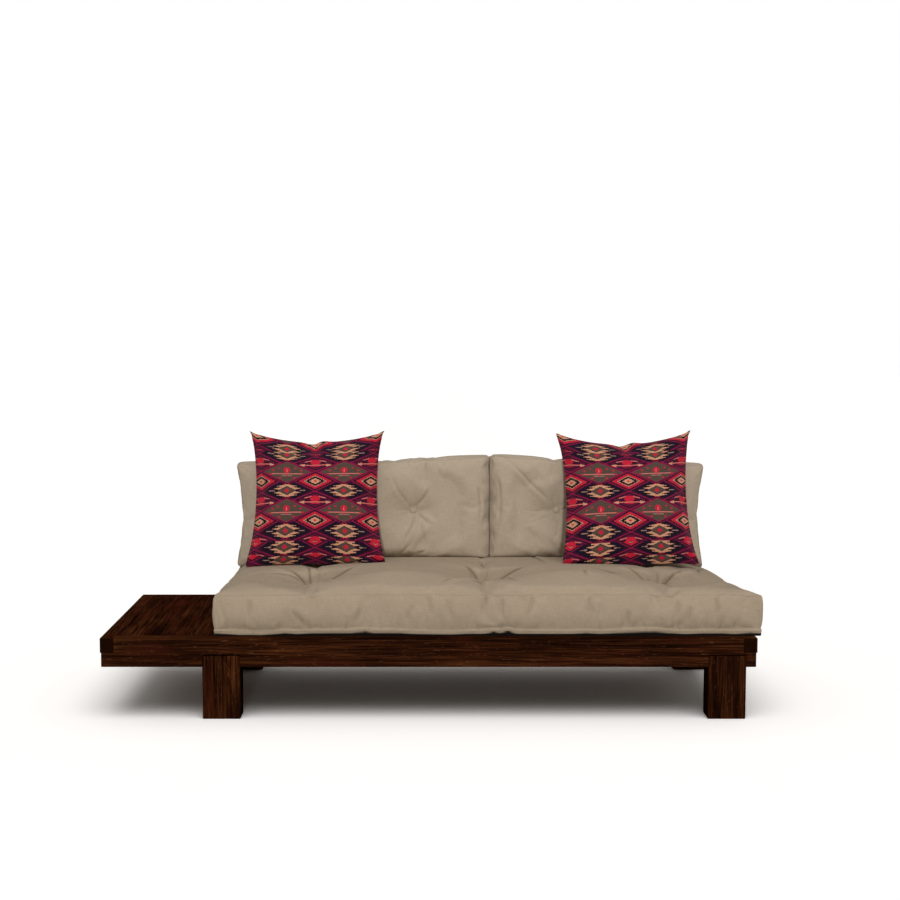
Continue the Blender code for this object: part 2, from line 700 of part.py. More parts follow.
def build_pillow(hand, x, roll, kilim, frame, impressions):
    """A knife-edged throw pillow, leaning on a back cushion with its foot on the mattress."""
    name = f"pillow_{hand}"
    us = crowded(PILLOW_CELLS)
    mesh = pad_mesh(name, us, us, pillow_face(-1), pillow_face(1), PILLOW_SEAM / 4)
    lean = math.radians(PILLOW_LEAN)
    y = BACK_CENTRE_Y - BACK_THICKNESS / 2 - pillow_reach() + PILLOW_SINK
    foot_y = y - PILLOW_SIZE / 2 * math.sin(lean)
    foot_z = mattress_height_at(x, foot_y) - PILLOW_FOOT_SINK
    z = foot_z + (PILLOW_SIZE / 2 - PILLOW_FOOT_DRAW_IN) * math.cos(lean)
    pillow = place(name, mesh, frame, (x, y, z), (-lean, math.radians(roll), 0.0), kilim)
    for impression in impressions:
        cut(pillow, impression)
    return pillow


def main():
    clear_scene()
    wood = finish("stained_pine", (0.021, 0.0065, 0.003), 0.45)
    steel = finish("black_steel", (0.06, 0.06, 0.065), 0.4, 1.0)
    cotton = finish("khaki_cotton", (0.35, 0.28, 0.20), 0.9)
    kilim = finish("kilim_weave", (0.14, 0.02, 0.035), 0.95)

    frame = bpy.data.objects.new("divan_bench", None)
    bpy.context.scene.collection.objects.link(frame)
    frame.location = (FRAME_CENTRE_X, 0.0, 0.0)

    build_long_rail("front_rail", -1, wood, frame)
    build_long_rail("rear_rail", 1, wood, frame)
    build_end_rail("left_end_rail", -1, wood, frame)
    build_end_rail("right_end_rail", 1, wood, frame)
    build_dowels(wood, frame)
    build_legs(wood, steel, frame)
    build_ledgers(wood, frame)
    build_boards(wood, frame)

    mattress = build_mattress(cotton, frame)
    bed = swollen_tool(mattress, frame)
    left = build_back_cushion(
        "left",
        BACK_LEFT_WIDTH,
        BACK_LEFT_TUFT_INSET,
        BACK_LEFT_DROP,
        BACK_LEFT_CENTRE_X,
        cotton,
        frame,
        bed,
    )
    right = build_back_cushion(
        "right",
        BACK_RIGHT_WIDTH,
        BACK_RIGHT_TUFT_INSET,
        -BACK_RIGHT_DROP,
        BACK_RIGHT_CENTRE_X,
        cotton,
        frame,
        bed,
    )
    left_x = BACK_LEFT_CENTRE_X - BACK_LEFT_WIDTH / 2 + PILLOW_LEFT_INSET
    right_x = BACK_RIGHT_CENTRE_X + BACK_RIGHT_WIDTH / 2 - PILLOW_RIGHT_INSET
    build_pillow("left", left_x, PILLOW_LEFT_ROLL, kilim, frame, [swollen_tool(left, frame), bed])
    build_pillow("right", right_x, PILLOW_RIGHT_ROLL, kilim, frame, [swollen_tool(right, frame), bed])


main()
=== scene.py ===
"""Looks for the divan bench: stained pine, a cotton futon with its cushions, and kilim pillows."""

import itertools
import logging
import math
from collections.abc import Iterable, Sequence
from dataclasses import dataclass, field
from enum import Enum

import bmesh
import bpy
import numpy as np
from bpy.types import ID, Material, Mesh, Node, NodeSocket, NodeTree, Object, bpy_prop_collection
from mathutils import Euler, Matrix, Vector
from mathutils.bvhtree import BVHTree


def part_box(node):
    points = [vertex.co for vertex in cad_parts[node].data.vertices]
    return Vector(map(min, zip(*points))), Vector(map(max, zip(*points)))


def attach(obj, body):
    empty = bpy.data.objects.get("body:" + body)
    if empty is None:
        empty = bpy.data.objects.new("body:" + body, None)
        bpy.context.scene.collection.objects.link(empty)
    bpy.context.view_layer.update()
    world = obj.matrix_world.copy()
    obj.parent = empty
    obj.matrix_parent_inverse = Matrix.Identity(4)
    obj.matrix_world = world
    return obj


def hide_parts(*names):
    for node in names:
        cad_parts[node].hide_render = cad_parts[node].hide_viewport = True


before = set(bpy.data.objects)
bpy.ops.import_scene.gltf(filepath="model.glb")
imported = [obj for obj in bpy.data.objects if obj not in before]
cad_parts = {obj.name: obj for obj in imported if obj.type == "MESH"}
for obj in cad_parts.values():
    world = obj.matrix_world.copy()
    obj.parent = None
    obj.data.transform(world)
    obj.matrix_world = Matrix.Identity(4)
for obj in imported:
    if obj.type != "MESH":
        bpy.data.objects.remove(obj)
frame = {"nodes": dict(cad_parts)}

LOG = logging.getLogger("divan_bench")
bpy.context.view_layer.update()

# A soft piece stays this far from what it presses on
TOUCH_GAP = 0.0008

# How much closer together a panel's points lie towards its seams
CROWDING = 0.25

UP = Vector((0.0, 0.0, 1.0))
RIGHT = Vector((1.0, 0.0, 0.0))
BACK = Vector((0.0, 1.0, 0.0))

Colour = tuple[float, float, float]
Flat = tuple[float, float]
Triple = tuple[float, float, float]
Array = np.ndarray


def stain(red: int, green: int, blue: int) -> Colour:
    """A colour written in display values from 0 to 255, as the linear one that shaders take."""
    values = (channel / 255 for channel in (red, green, blue))
    return tuple(v / 12.92 if v <= 0.04045 else ((v + 0.055) / 1.055) ** 2.4 for v in values)


def add_object(name: str, data: ID) -> Object:
    """A new object in the scene.

    Args:
        name: The object's name.
        data: Its mesh, camera or light.

    Returns:
        The object, at the origin.
    """
    made = bpy.data.objects.new(name, data)
    bpy.context.scene.collection.objects.link(made)
    return made


def add_node(tree: NodeTree, kind: str, **values: object) -> Node:
    """A new node in a tree.

    Args:
        tree: The tree.
        kind: The node's type.
        values: Its settings, in small letters, and its inputs by name with underscores: sockets or values.

    Returns:
        The node.
    """
    node = tree.nodes.new(kind)
    for name, value in values.items():
        if name[0].islower():
            setattr(node, name, value)
        elif isinstance(value, NodeSocket):
            tree.links.new(value, node.inputs[name.replace("_", " ")])
        else:
            node.inputs[name.replace("_", " ")].default_value = value
    return node


def colour_blend(tree: NodeTree) -> dict[str, NodeSocket]:
    """The sockets of a new node that mixes two colours, by their identifiers."""
    node = add_node(tree, "ShaderNodeMix", data_type="RGBA")
    return {slot.identifier: slot for slot in (*node.inputs, *node.outputs)}


@dataclass(frozen=True)
class Term:
    """One number in a material's node tree, which arithmetic extends by further nodes."""

    tree: NodeTree
    socket: NodeSocket

    def calc(self, operation: str, *values: "Term | float") -> "Term":
        """Add a math node.

        Args:
            operation: The math node's operation.
            values: Its inputs, terms or plain numbers.

        Returns:
            The node's result.
        """
        node = self.tree.nodes.new("ShaderNodeMath")
        node.operation = operation
        for slot, value in zip(node.inputs, values):
            if isinstance(value, Term):
                self.tree.links.new(value.socket, slot)
            else:
                slot.default_value = value
        return Term(self.tree, node.outputs[0])

    def __add__(self, other: "Term | float") -> "Term":
        """The sum."""
        return self.calc("ADD", self, other)

    def __sub__(self, other: "Term | float") -> "Term":
        """The difference."""
        return self.calc("SUBTRACT", self, other)

    def __rsub__(self, other: float) -> "Term":
        """The difference from a plain number."""
        return self.calc("SUBTRACT", other, self)

    def __mul__(self, other: "Term | float") -> "Term":
        """The product."""
        return self.calc("MULTIPLY", self, other)

    def __truediv__(self, other: "Term | float") -> "Term":
        """The quotient."""
        return self.calc("DIVIDE", self, other)

    def __pow__(self, other: float) -> "Term":
        """The power."""
        return self.calc("POWER", self, other)

    def __abs__(self) -> "Term":
        """The size without its sign."""
        return self.calc("ABSOLUTE", self)

    def below(self, limit: "Term | float") -> "Term":
        """1 where the value is below the limit, and else 0."""
        return self.calc("LESS_THAN", self, limit)

    def above(self, limit: "Term | float") -> "Term":
        """1 where the value is above the limit, and else 0."""
        return self.calc("GREATER_THAN", self, limit)

    def between(self, low: float, high: float) -> "Term":
        """1 where the value lies between the two, and else 0."""
        return self.above(low) * self.below(high)

    def wave(self) -> "Term":
        """The sine."""
        return self.calc("SINE", self)

    def part(self) -> "Term":
        """What is left above the whole number."""
        return self.calc("FRACT", self)

    def whole(self) -> "Term":
        """The whole number below."""
        return self.calc("FLOOR", self)

    def stepped(self, step: float) -> "Term":
        """The value in steps, as a weaver counts threads."""
        return self.calc("SNAP", self, step)

    def repeated(self, period: float) -> "Term":
        """The distance from the nearest whole period, with its sign."""
        return self.calc("WRAP", self, period / 2, -period / 2)

    def root(self) -> "Term":
        """The square root."""
        return self.calc("SQRT", self)


Place = tuple[Term, Term, Term]


class Finish:
    """A material whose node tree is written as arithmetic."""

    def __init__(self, name: str) -> None:
        """Start a material.

        Args:
            name: The material's name.
        """
        self.material = bpy.data.materials.new(name)
        self.material.use_nodes = True
        self.tree = self.material.node_tree
        self.shader = self.tree.nodes["Principled BSDF"]

    def constant(self, **sockets: float) -> None:
        """Set the shader's own sockets, by their names with underscores."""
        for name, value in sockets.items():
            self.shader.inputs[name.replace("_", " ")].default_value = value

    def place(self, kind: str) -> Place:
        """The three numbers of Object or UV coordinates.

        Args:
            kind: Object or UV.

        Returns:
            The coordinates.
        """
        source = self.tree.nodes.new("ShaderNodeTexCoord")
        split = add_node(self.tree, "ShaderNodeSeparateXYZ", Vector=source.outputs[kind])
        return tuple(Term(self.tree, output) for output in split.outputs)

    def attribute(self, name: str) -> Term:
        """A number stored on the mesh's points."""
        node = add_node(self.tree, "ShaderNodeAttribute", attribute_name=name)
        return Term(self.tree, node.outputs["Fac"])

    def noise(self, place: Sequence[Term], scales: Sequence[float], detail: float = 2.0) -> Term:
        """Soft noise from 0 to 1.

        Args:
            place: Coordinates in metres.
            scales: How many times the noise turns over in a metre, along each.
            detail: How many finer layers it has.

        Returns:
            The noise.
        """
        x, y, z = ((term * scale).socket for term, scale in zip(place, scales))
        join = add_node(self.tree, "ShaderNodeCombineXYZ", X=x, Y=y, Z=z)
        node = add_node(self.tree, "ShaderNodeTexNoise", Vector=join.outputs[0], Scale=1.0, Detail=detail)
        return Term(self.tree, node.outputs["Fac"])

    def chance(self, term: Term) -> Term:
        """A fixed random number from 0 to 1 for each value."""
        node = add_node(self.tree, "ShaderNodeTexWhiteNoise", noise_dimensions="1D", W=term.socket)
        return Term(self.tree, node.outputs["Value"])

    def ramp(self, term: Term, stops: Sequence[tuple[float, Colour]]) -> NodeSocket:
        """Colours along a value.

        Args:
            term: The value.
            stops: Places from 0 to 1 and their colours.

        Returns:
            The colour socket.
        """
        node = add_node(self.tree, "ShaderNodeValToRGB", Fac=term.socket)
        band = node.color_ramp
        while len(band.elements) < len(stops):
            band.elements.new(0.5)
        for element, (position, colour) in zip(band.elements, stops):
            element.position = position
            element.color = (*colour, 1.0)
        return node.outputs["Color"]

    def mix(self, share: Term, base: "Colour | NodeSocket", over: Colour) -> NodeSocket:
        """Lay a colour over another.

        Args:
            share: How much of the upper colour shows.
            base: The lower colour.
            over: The upper colour.

        Returns:
            The colour socket.
        """
        slots = colour_blend(self.tree)
        self.tree.links.new(share.socket, slots["Factor_Float"])
        if isinstance(base, tuple):
            slots["A_Color"].default_value = (*base, 1.0)
        else:
            self.tree.links.new(base, slots["A_Color"])
        slots["B_Color"].default_value = (*over, 1.0)
        return slots["Result_Color"]

    def shade(self, colour: NodeSocket, amount: Term) -> NodeSocket:
        """A colour made lighter or darker by a factor."""
        values = {"operation": "SCALE", "Vector": colour, "Scale": amount.socket}
        return add_node(self.tree, "ShaderNodeVectorMath", **values).outputs[0]

    def link(self, name: str, value: "Term | NodeSocket") -> None:
        """Join a value to one of the shader's sockets."""
        self.tree.links.new(value.socket if isinstance(value, Term) else value, self.shader.inputs[name])

    def bump(self, height: Term, distance: float, strength: float) -> None:
        """Roughen the surface by a relief, whose 1 is as deep as the distance."""
        relief = {"Height": height.socket, "Distance": distance, "Strength": strength}
        self.link("Normal", add_node(self.tree, "ShaderNodeBump", **relief).outputs["Normal"])


class Grain(Enum):
    """Which way a timber's fibres run."""

    LENGTHWISE = 0
    CROSSWISE = 1
    UPRIGHT = 2


@dataclass(frozen=True)
class StainedPine:
    """Dark reddish brown stain on sawn pine, satin, with its rings and fibres showing through."""

    deep: Colour = stain(16, 6, 3)
    body: Colour = stain(41, 18, 8)
    pale: Colour = stain(76, 41, 20)
    red: Colour = stain(66, 25, 15)
    fleck: Colour = stain(112, 70, 42)
    end: Colour = stain(20, 8, 3)
    end_depth: float = 0.0012
    ring_pitch: float = 0.0095
    ring_sway: float = 0.075
    ring_ripple: float = 0.006
    pith_aside: float = 0.045
    pith_deep: Flat = (0.05, 0.1)
    log_half: float = 4.0
    glue_line: float = 0.482
    stave_along: float = 3.0
    stave_deep: float = 0.15
    roughness: float = 0.42
    relief: float = 0.0005

    def material(
        self, name: str, grain: Grain, centre: Vector, length: float, seed: int, stave: float
    ) -> Material:
        """The finish of one timber.

        Args:
            name: The material's name.
            grain: Which way its fibres run.
            centre: The timber's middle.
            length: Its length along the grain.
            seed: Which log it was cut from.
            stave: Width of the staves it is glued up from across X, or 0 for one piece.

        Returns:
            The material.
        """
        finish = Finish(name)
        draw = np.random.default_rng(seed)
        place = [axis - middle for axis, middle in zip(finish.place("Object"), centre)]
        along = place.pop(grain.value)
        end_grain = abs(along).above(length / 2 - self.end_depth)
        across, deep = place
        joint: Term | None = None
        if stave:
            count = across / stave + 0.5
            joint = abs(count.part() - 0.5).above(self.glue_line)
            shift = finish.chance(count.whole() + float(seed))
            along = along + shift * self.stave_along
            deep = deep + shift * self.stave_deep
        along = along + float(draw.uniform(-self.log_half, self.log_half))
        pith_across = float(draw.uniform(-self.pith_aside, self.pith_aside))
        pith_deep = float(draw.choice((-1.0, 1.0)) * draw.uniform(*self.pith_deep))
        from_pith = ((across - pith_across) ** 2.0 + (deep - pith_deep) ** 2.0).root()
        wood = (along, across, deep)
        sway = finish.noise(wood, (1.3, 4.0, 4.0), 3.0) - 0.5
        ripple = finish.noise(wood, (9.0, 26.0, 26.0)) - 0.5
        rings = ((from_pith + sway * self.ring_sway + ripple * self.ring_ripple) / self.ring_pitch).part()
        streak = finish.noise(wood, (1.1, 46.0, 46.0))
        band = finish.noise(wood, (2.6, 125.0, 125.0))
        fibre = finish.noise(wood, (9.0, 260.0, 260.0), 3.0)
        cloud = finish.noise(wood, (3.0, 7.0, 7.0), 1.0)
        tone = (1.0 - rings**2.4) * 0.18 + streak * 0.55 + band * 0.8 + fibre + cloud * 0.55 - 1.105
        colour = finish.ramp(tone, ((0.16, self.deep), (0.48, self.body), (0.84, self.pale)))
        patch = finish.noise(wood, (4.5, 15.0, 15.0))
        colour = finish.mix((patch - 0.52) * 2.6 + float(draw.uniform(-0.22, 0.15)), colour, self.red)
        speck = finish.noise(wood, (34.0, 270.0, 270.0), 1.0).above(0.695)
        colour = finish.mix(speck * cloud * 0.62, colour, self.fleck)
        colour = finish.mix(end_grain * 0.85, colour, self.end)
        if joint is not None:
            colour = finish.mix(joint * 0.7, colour, self.deep)
        finish.link("Base Color", colour)
        finish.link("Roughness", fibre * 0.22 + self.roughness)
        finish.constant(Specular_IOR_Level=0.0)
        finish.bump(fibre * 0.6 + rings * 0.4, self.relief, 0.6)
        return finish.material


@dataclass(frozen=True)
class BlackSteel:
    """Blackened steel of the bolts and screws, a little rubbed."""

    colour: Colour = stain(58, 57, 60)
    rubbed: Colour = stain(104, 101, 98)
    relief: float = 0.0002

    def material(self) -> Material:
        """Make the finish of every bolt and screw.

        Returns:
            The material.
        """
        finish = Finish("blackened_steel")
        place = finish.place("Object")
        cloud = finish.noise(place, (160.0, 160.0, 160.0), 3.0)
        finish.link("Base Color", finish.mix((cloud - 0.45) * 1.4, self.colour, self.rubbed))
        finish.link("Roughness", cloud * 0.3 + 0.25)
        finish.constant(Metallic=1.0)
        finish.bump(finish.noise(place, (900.0, 900.0, 900.0)), self.relief, 0.4)
        return finish.material


class ClothPlace(Enum):
    """What a cloth's threads follow."""

    PANEL = "UV"
    SOLID = "Object"


@dataclass(frozen=True)
class KhakiCotton:
    """Washed plain-weave cotton with slubs, with painted shade down in its folds and a painted shadow under
    the mattress's lower lip.
    """

    # The cloth's colour; the mattress takes a darker copy of it as painted shade
    colour: Colour = stain(173, 158, 138)
    # Painted shade: the colour that the cloth darkens towards in its folds
    fold: Colour = stain(108, 93, 74)
    # Painted shadow: the near-black that the cloth takes under the mattress's lower lip
    under: Colour = stain(10, 7, 5)
    fold_shade_share: float = 0.3
    thread: float = 0.0016
    relief: float = 0.0011

    def material(self, name: str, follows: ClothPlace) -> Material:
        """The cover's finish.

        Args:
            name: The material's name.
            follows: Whether the threads follow the sewn panels or the solid.

        Returns:
            The material.
        """
        finish = Finish(name)
        place = finish.place(follows.value)
        cloth = place if follows is ClothPlace.PANEL else (place[0], place[2], place[1])
        turn = math.tau / self.thread
        weave = (cloth[0] * turn).wave() * (cloth[1] * turn).wave()
        slub = finish.noise(cloth, (26.0, 520.0, 26.0)) + finish.noise(cloth, (480.0, 30.0, 30.0))
        cloud = finish.noise(cloth, (7.0, 7.0, 7.0), 3.0)
        tone = (slub - 1.0) * 0.34 + (cloud - 0.5) * 0.16 + weave * 0.035 + 1.0
        # Painted shade in the creases, as strong as the stored fold attribute
        colour = finish.mix(finish.attribute("fold") * self.fold_shade_share, self.colour, self.fold)
        # Painted shadow under the mattress's lower lip, where the under attribute is set
        colour = finish.mix(finish.attribute("under"), colour, self.under)
        finish.link("Base Color", finish.shade(colour, tone))
        finish.constant(Roughness=0.92, Sheen_Weight=0.12, Sheen_Roughness=0.5, Specular_IOR_Level=0.12)
        finish.bump(weave * 0.22 + slub * 0.5, self.relief, 0.75)
        return finish.material


def diamond(beside: Term, above: Term, half: Flat) -> Term:
    """How far out in a diamond a place lies, which is 1 on the outline and less inside."""
    return abs(beside) / half[0] + abs(above) / half[1]


def oval(beside: Term, above: Term, half: Flat) -> Term:
    """How far out in an oval a place lies, squared, which is 1 on the outline and less inside."""
    return (beside / half[0]) ** 2.0 + (above / half[1]) ** 2.0


def bar(beside: Term, above: Term, half: Flat) -> Term:
    """1 on a bar of half the length and half the thickness given, and else 0."""
    return abs(above).below(half[1]) * beside.below(half[0])


@dataclass
class Weaving:
    """A pattern that grows on a material, one motif over another."""

    finish: Finish
    colour: "Colour | NodeSocket"

    def lay(self, where: Term, tint: Colour) -> None:
        """Lay a colour over the pattern so far."""
        self.colour = self.finish.mix(where, self.colour, tint)


@dataclass(frozen=True)
class KilimWeave:
    """A flat-woven wool pattern: rows of grey diamonds and toothed stars between red diamonds."""

    ground: Colour = stain(59, 16, 39)
    night: Colour = stain(29, 16, 34)
    plum: Colour = stain(108, 22, 60)
    magenta: Colour = stain(142, 24, 66)
    red: Colour = stain(194, 34, 56)
    grey: Colour = stain(84, 68, 60)
    pale: Colour = stain(150, 118, 108)
    sand: Colour = stain(204, 148, 116)
    rose: Colour = stain(210, 114, 106)
    repeat_x: float = 0.242
    repeat_y: float = 0.16
    lift: float = -0.056
    top_row: Flat = (0.195, 0.0354)
    low_rows: tuple[Flat, ...] = ((-0.176, 0.061), (-0.231, 0.0485))
    stitch_x: float = 0.003
    stitch_y: float = 0.002
    grey_half: Flat = (0.102, 0.0455)
    grey_dots: tuple[Flat, ...] = ((0.036, 0.016), (0.06, 0.007), (0.03, -0.025), (0.07, -0.009))
    lens_half: Flat = (0.1, 0.038)
    lens_line: float = -0.0085
    lens_tips: Flat = (0.046, 0.066)
    red_half: Flat = (0.09, 0.0445)
    star_half: Flat = (0.108, 0.06)
    star_height: float = 0.031
    star_teeth: tuple[Triple, ...] = ((0.06, 0.0085, 0.005), (0.043, 0.019, 0.0052))
    tooth_length: float = 0.03
    relief: float = 0.0012

    def material(self) -> Material:
        """Make the pillow covers' finish, drawn on each panel from its middle.

        Returns:
            The material.
        """
        finish = Finish("kilim_weave")
        panel = finish.place("UV")
        across, up, _ = panel
        x = across.stepped(self.stitch_x) + self.stitch_x / 2
        woven = up.stepped(self.stitch_y) + self.stitch_y / 2
        y = woven - self.lift - woven.above(self.top_row[0]) * self.top_row[1]
        for limit, shift in self.low_rows:
            y = y + woven.below(limit) * shift
        beside_red = abs(x.repeated(self.repeat_x))
        beside_grey = self.repeat_x / 2 - beside_red
        from_grey = y.repeated(self.repeat_y)
        from_star = self.repeat_y / 2 - abs(from_grey)
        from_red = abs((y + self.repeat_y / 4).repeated(self.repeat_y))
        from_lens = (y - self.repeat_y / 4).repeated(self.repeat_y)

        cloth = Weaving(finish, self.ground)
        self.lattice(cloth, beside_grey, from_grey)
        self.lens(cloth, beside_red, from_lens)
        self.grey_diamond(cloth, beside_grey, from_grey)
        self.star(cloth, beside_grey, from_star)
        self.red_diamond(cloth, beside_red, from_red)

        yarn = finish.noise(panel, (34.0, 460.0, 1.0))
        wool = finish.noise(panel, (700.0, 700.0, 1.0))
        rib = abs((across * (math.pi / self.stitch_x)).wave())
        tone = (yarn - 0.5) * 0.7 + (wool - 0.5) * 0.5 + rib * 0.16 + 0.82
        finish.link("Base Color", finish.shade(cloth.colour, tone))
        finish.constant(Roughness=0.95, Sheen_Weight=0.06, Sheen_Roughness=0.5, Specular_IOR_Level=0.08)
        finish.bump(rib * 0.5 + yarn * 0.6, self.relief, 0.8)
        return finish.material

    def lattice(self, cloth: Weaving, beside: Term, above: Term) -> None:
        """Weave the lines that run round every grey diamond.

        Args:
            cloth: The pattern so far.
            beside: Distance from the nearest column of grey diamonds.
            above: Height over the nearest row of grey diamonds.
        """
        lines = diamond(beside, above, self.grey_half)
        cloth.lay(lines.between(1.3, 1.52), self.night)
        cloth.lay(lines.between(1.16, 1.24), self.plum)
        cloth.lay(lines.between(1.62, 1.7), self.plum)
        hooks = (beside / 0.0125).part().below(0.42)
        cloth.lay(lines.between(1.44, 1.58) * hooks, self.magenta)

    def lens(self, cloth: Weaving, beside: Term, above: Term) -> None:
        """Weave the pointed oval over each red diamond, with a flower on a barred line.

        Args:
            cloth: The pattern so far.
            beside: Distance from the nearest column of red diamonds.
            above: Height over the middle of the nearest oval.
        """
        shape = diamond(beside, above, self.lens_half)
        cloth.lay(shape.below(1.0), self.ground)
        cloth.lay(shape.between(0.9, 1.0), self.magenta)
        cloth.lay(shape.between(0.62, 0.7), self.plum)
        arc = abs(above - 0.0175 + beside * 0.22).below(0.0018)
        cloth.lay(arc * beside.between(0.01, 0.044), self.rose)
        flower = oval(beside, above - 0.0055, (0.021, 0.0125))
        cloth.lay(flower.below(1.0), self.red)
        over_line = above - self.lens_line
        tips = abs(over_line).below(0.0062 - (beside - self.lens_tips[0]) * 0.24)
        cloth.lay(beside.between(*self.lens_tips) * tips, self.sand)
        cloth.lay(bar(beside, over_line, (0.05, 0.0018)), self.rose)
        petals = bar(beside, above + 0.015 - beside * 0.2, (0.022, 0.0021))
        cloth.lay(petals, self.red)

    def grey_diamond(self, cloth: Weaving, beside: Term, above: Term) -> None:
        """Weave the large grey diamond with a bud over a long bar.

        Args:
            cloth: The pattern so far.
            beside: Distance from the nearest column of grey diamonds.
            above: Height over the middle of the nearest one.
        """
        shape = diamond(beside, above, self.grey_half)
        cloth.lay(shape.below(1.08), self.magenta)
        cloth.lay(shape.below(1.0), self.grey)
        for dot_x, dot_y in self.grey_dots:
            dot = diamond(beside - dot_x, above - dot_y, (0.006, 0.0044))
            cloth.lay(dot.below(1.0), self.red)
        cloth.lay(bar(beside, above + 0.0075, (0.064, 0.0015)), self.rose)
        bud = oval(beside, above - 0.008, (0.0135, 0.013))
        cloth.lay(bud.below(1.0), self.red)
        seed = diamond(beside, above - 0.006, (0.0034, 0.0085))
        cloth.lay(seed.below(1.0), self.rose)
        foot = bar(beside, above + 0.016, (0.022, 0.0013))
        cloth.lay(foot, self.pale)
        knot = diamond(beside, above + 0.013, (0.0055, 0.0055))
        cloth.lay(knot.below(1.0), self.red)

    def star(self, cloth: Weaving, beside: Term, away: Term) -> None:
        """Weave the toothed star between two grey diamonds.

        Args:
            cloth: The pattern so far.
            beside: Distance from the nearest column of stars.
            away: Distance above or below the middle of the nearest one.
        """
        sky = diamond(beside, away, self.star_half).below(0.94)
        cloth.lay(sky * away.below(self.star_height), self.night)
        for tip, row, half in self.star_teeth:
            tooth = abs(away - row).below((tip - beside) * (half / self.tooth_length))
            cloth.lay(tooth * beside.below(tip), self.sand)
        dots = diamond(beside - 0.008, away - 0.0275, (0.005, 0.0034))
        cloth.lay(dots.below(1.0), self.red)
        middle = diamond(beside, away, (0.039, 0.018))
        cloth.lay(middle.below(1.09), self.night)
        cloth.lay(middle.below(1.0), self.grey)
        heart = diamond(beside, away, (0.0115, 0.01))
        cloth.lay(heart.below(1.0), self.red)
        ray = away.below(0.0024 - (beside - 0.056) * 0.05)
        cloth.lay(ray * beside.between(0.054, 0.08), self.pale)

    def red_diamond(self, cloth: Weaving, beside: Term, away: Term) -> None:
        """Weave the red diamond in rings round a sand-coloured eye.

        Args:
            cloth: The pattern so far.
            beside: Distance from the nearest column of red diamonds.
            away: Distance above or below the middle of the nearest one.
        """
        shape = diamond(beside, away, self.red_half)
        for edge, tint in (
            (1.02, self.magenta),
            (0.94, self.ground),
            (0.79, self.red),
            (0.59, self.magenta),
            (0.55, self.sand),
        ):
            cloth.lay(shape.below(edge), tint)
        dashes = (beside / 0.0105).part().below(0.5)
        cloth.lay(shape.between(0.8, 0.9) * dashes, self.night)
        zigzag = shape + abs((beside / 0.009).part() - 0.5) * 0.1
        cloth.lay(zigzag.below(0.51), self.night)
        cloth.lay(zigzag.below(0.31), self.sand)
        cloth.lay(shape.below(0.09), self.red)


@dataclass(frozen=True)
class Twine:
    """Waxed thread of the seams and tufts."""

    colour: Colour = stain(150, 133, 110)
    shade: Colour = stain(116, 100, 80)

    def material(self) -> Material:
        """Make the thread's finish.

        Returns:
            The material.
        """
        finish = Finish("seam_thread")
        strand = finish.noise(finish.place("Object"), (1400.0, 1400.0, 1400.0), 1.0)
        finish.link("Base Color", finish.mix(strand * 0.5, self.colour, self.shade))
        finish.constant(Roughness=0.85, Specular_IOR_Level=0.2)
        return finish.material


def panel_grid(columns: int, rows: int) -> tuple[Array, Array]:
    """Places on a panel from -1 to 1 both ways, closer together towards its seams."""
    even = (np.linspace(-1.0, 1.0, count + 1) for count in (columns, rows))
    return tuple(np.meshgrid(*(steps * (1 + CROWDING - CROWDING * steps**2) for steps in even)))


def border(grid: Array) -> Array:
    """The entries round the edge of a grid, in order."""
    return np.concatenate([grid[0], grid[1:-1, -1], grid[-1, ::-1], grid[-2:0:-1, 0]])


def length_round(ring: Array) -> Array:
    """The distance along a closed ring at each point, and back at the first."""
    steps = np.linalg.norm(np.diff(np.vstack([ring, ring[:1]]), axis=0), axis=1)
    return np.concatenate([[0.0], np.cumsum(steps)])


def rounded(across: Array, along: Array, half: Flat, radius: float) -> tuple[Array, Array]:
    """Round the corners of a rectangle's points.

    Args:
        across: First coordinates.
        along: Second coordinates.
        half: Half of the rectangle's two sides.
        radius: The corner's radius.

    Returns:
        The moved coordinates.
    """
    past_across = np.maximum(np.abs(across) - (half[0] - radius), 0.0)
    past_along = np.maximum(np.abs(along) - (half[1] - radius), 0.0)
    length = np.hypot(past_across, past_along)
    share = np.where(length > 0, np.maximum(past_across, past_along) / np.maximum(length, 1e-9), 1.0)
    new_across = across - np.sign(across) * past_across * (1 - share)
    new_along = along - np.sign(along) * past_along * (1 - share)
    return new_across, new_along


def outward_of(across: Array, along: Array) -> Array:
    """Which way the border of a panel faces, from its places between -1 and 1.

    Args:
        across: First places on the border.
        along: Second places on the border.

    Returns:
        Unit directions, one row for each place.
    """
    power = 31
    direction = np.stack([across**power, along**power], axis=-1)
    return direction / np.linalg.norm(direction, axis=-1, keepdims=True)


def dimple(distance: Array, radius: float, depth: float) -> Array:
    """How far a sewn tuft draws the cover in at each distance from it."""
    return depth * np.exp(-((distance / radius) ** 2))


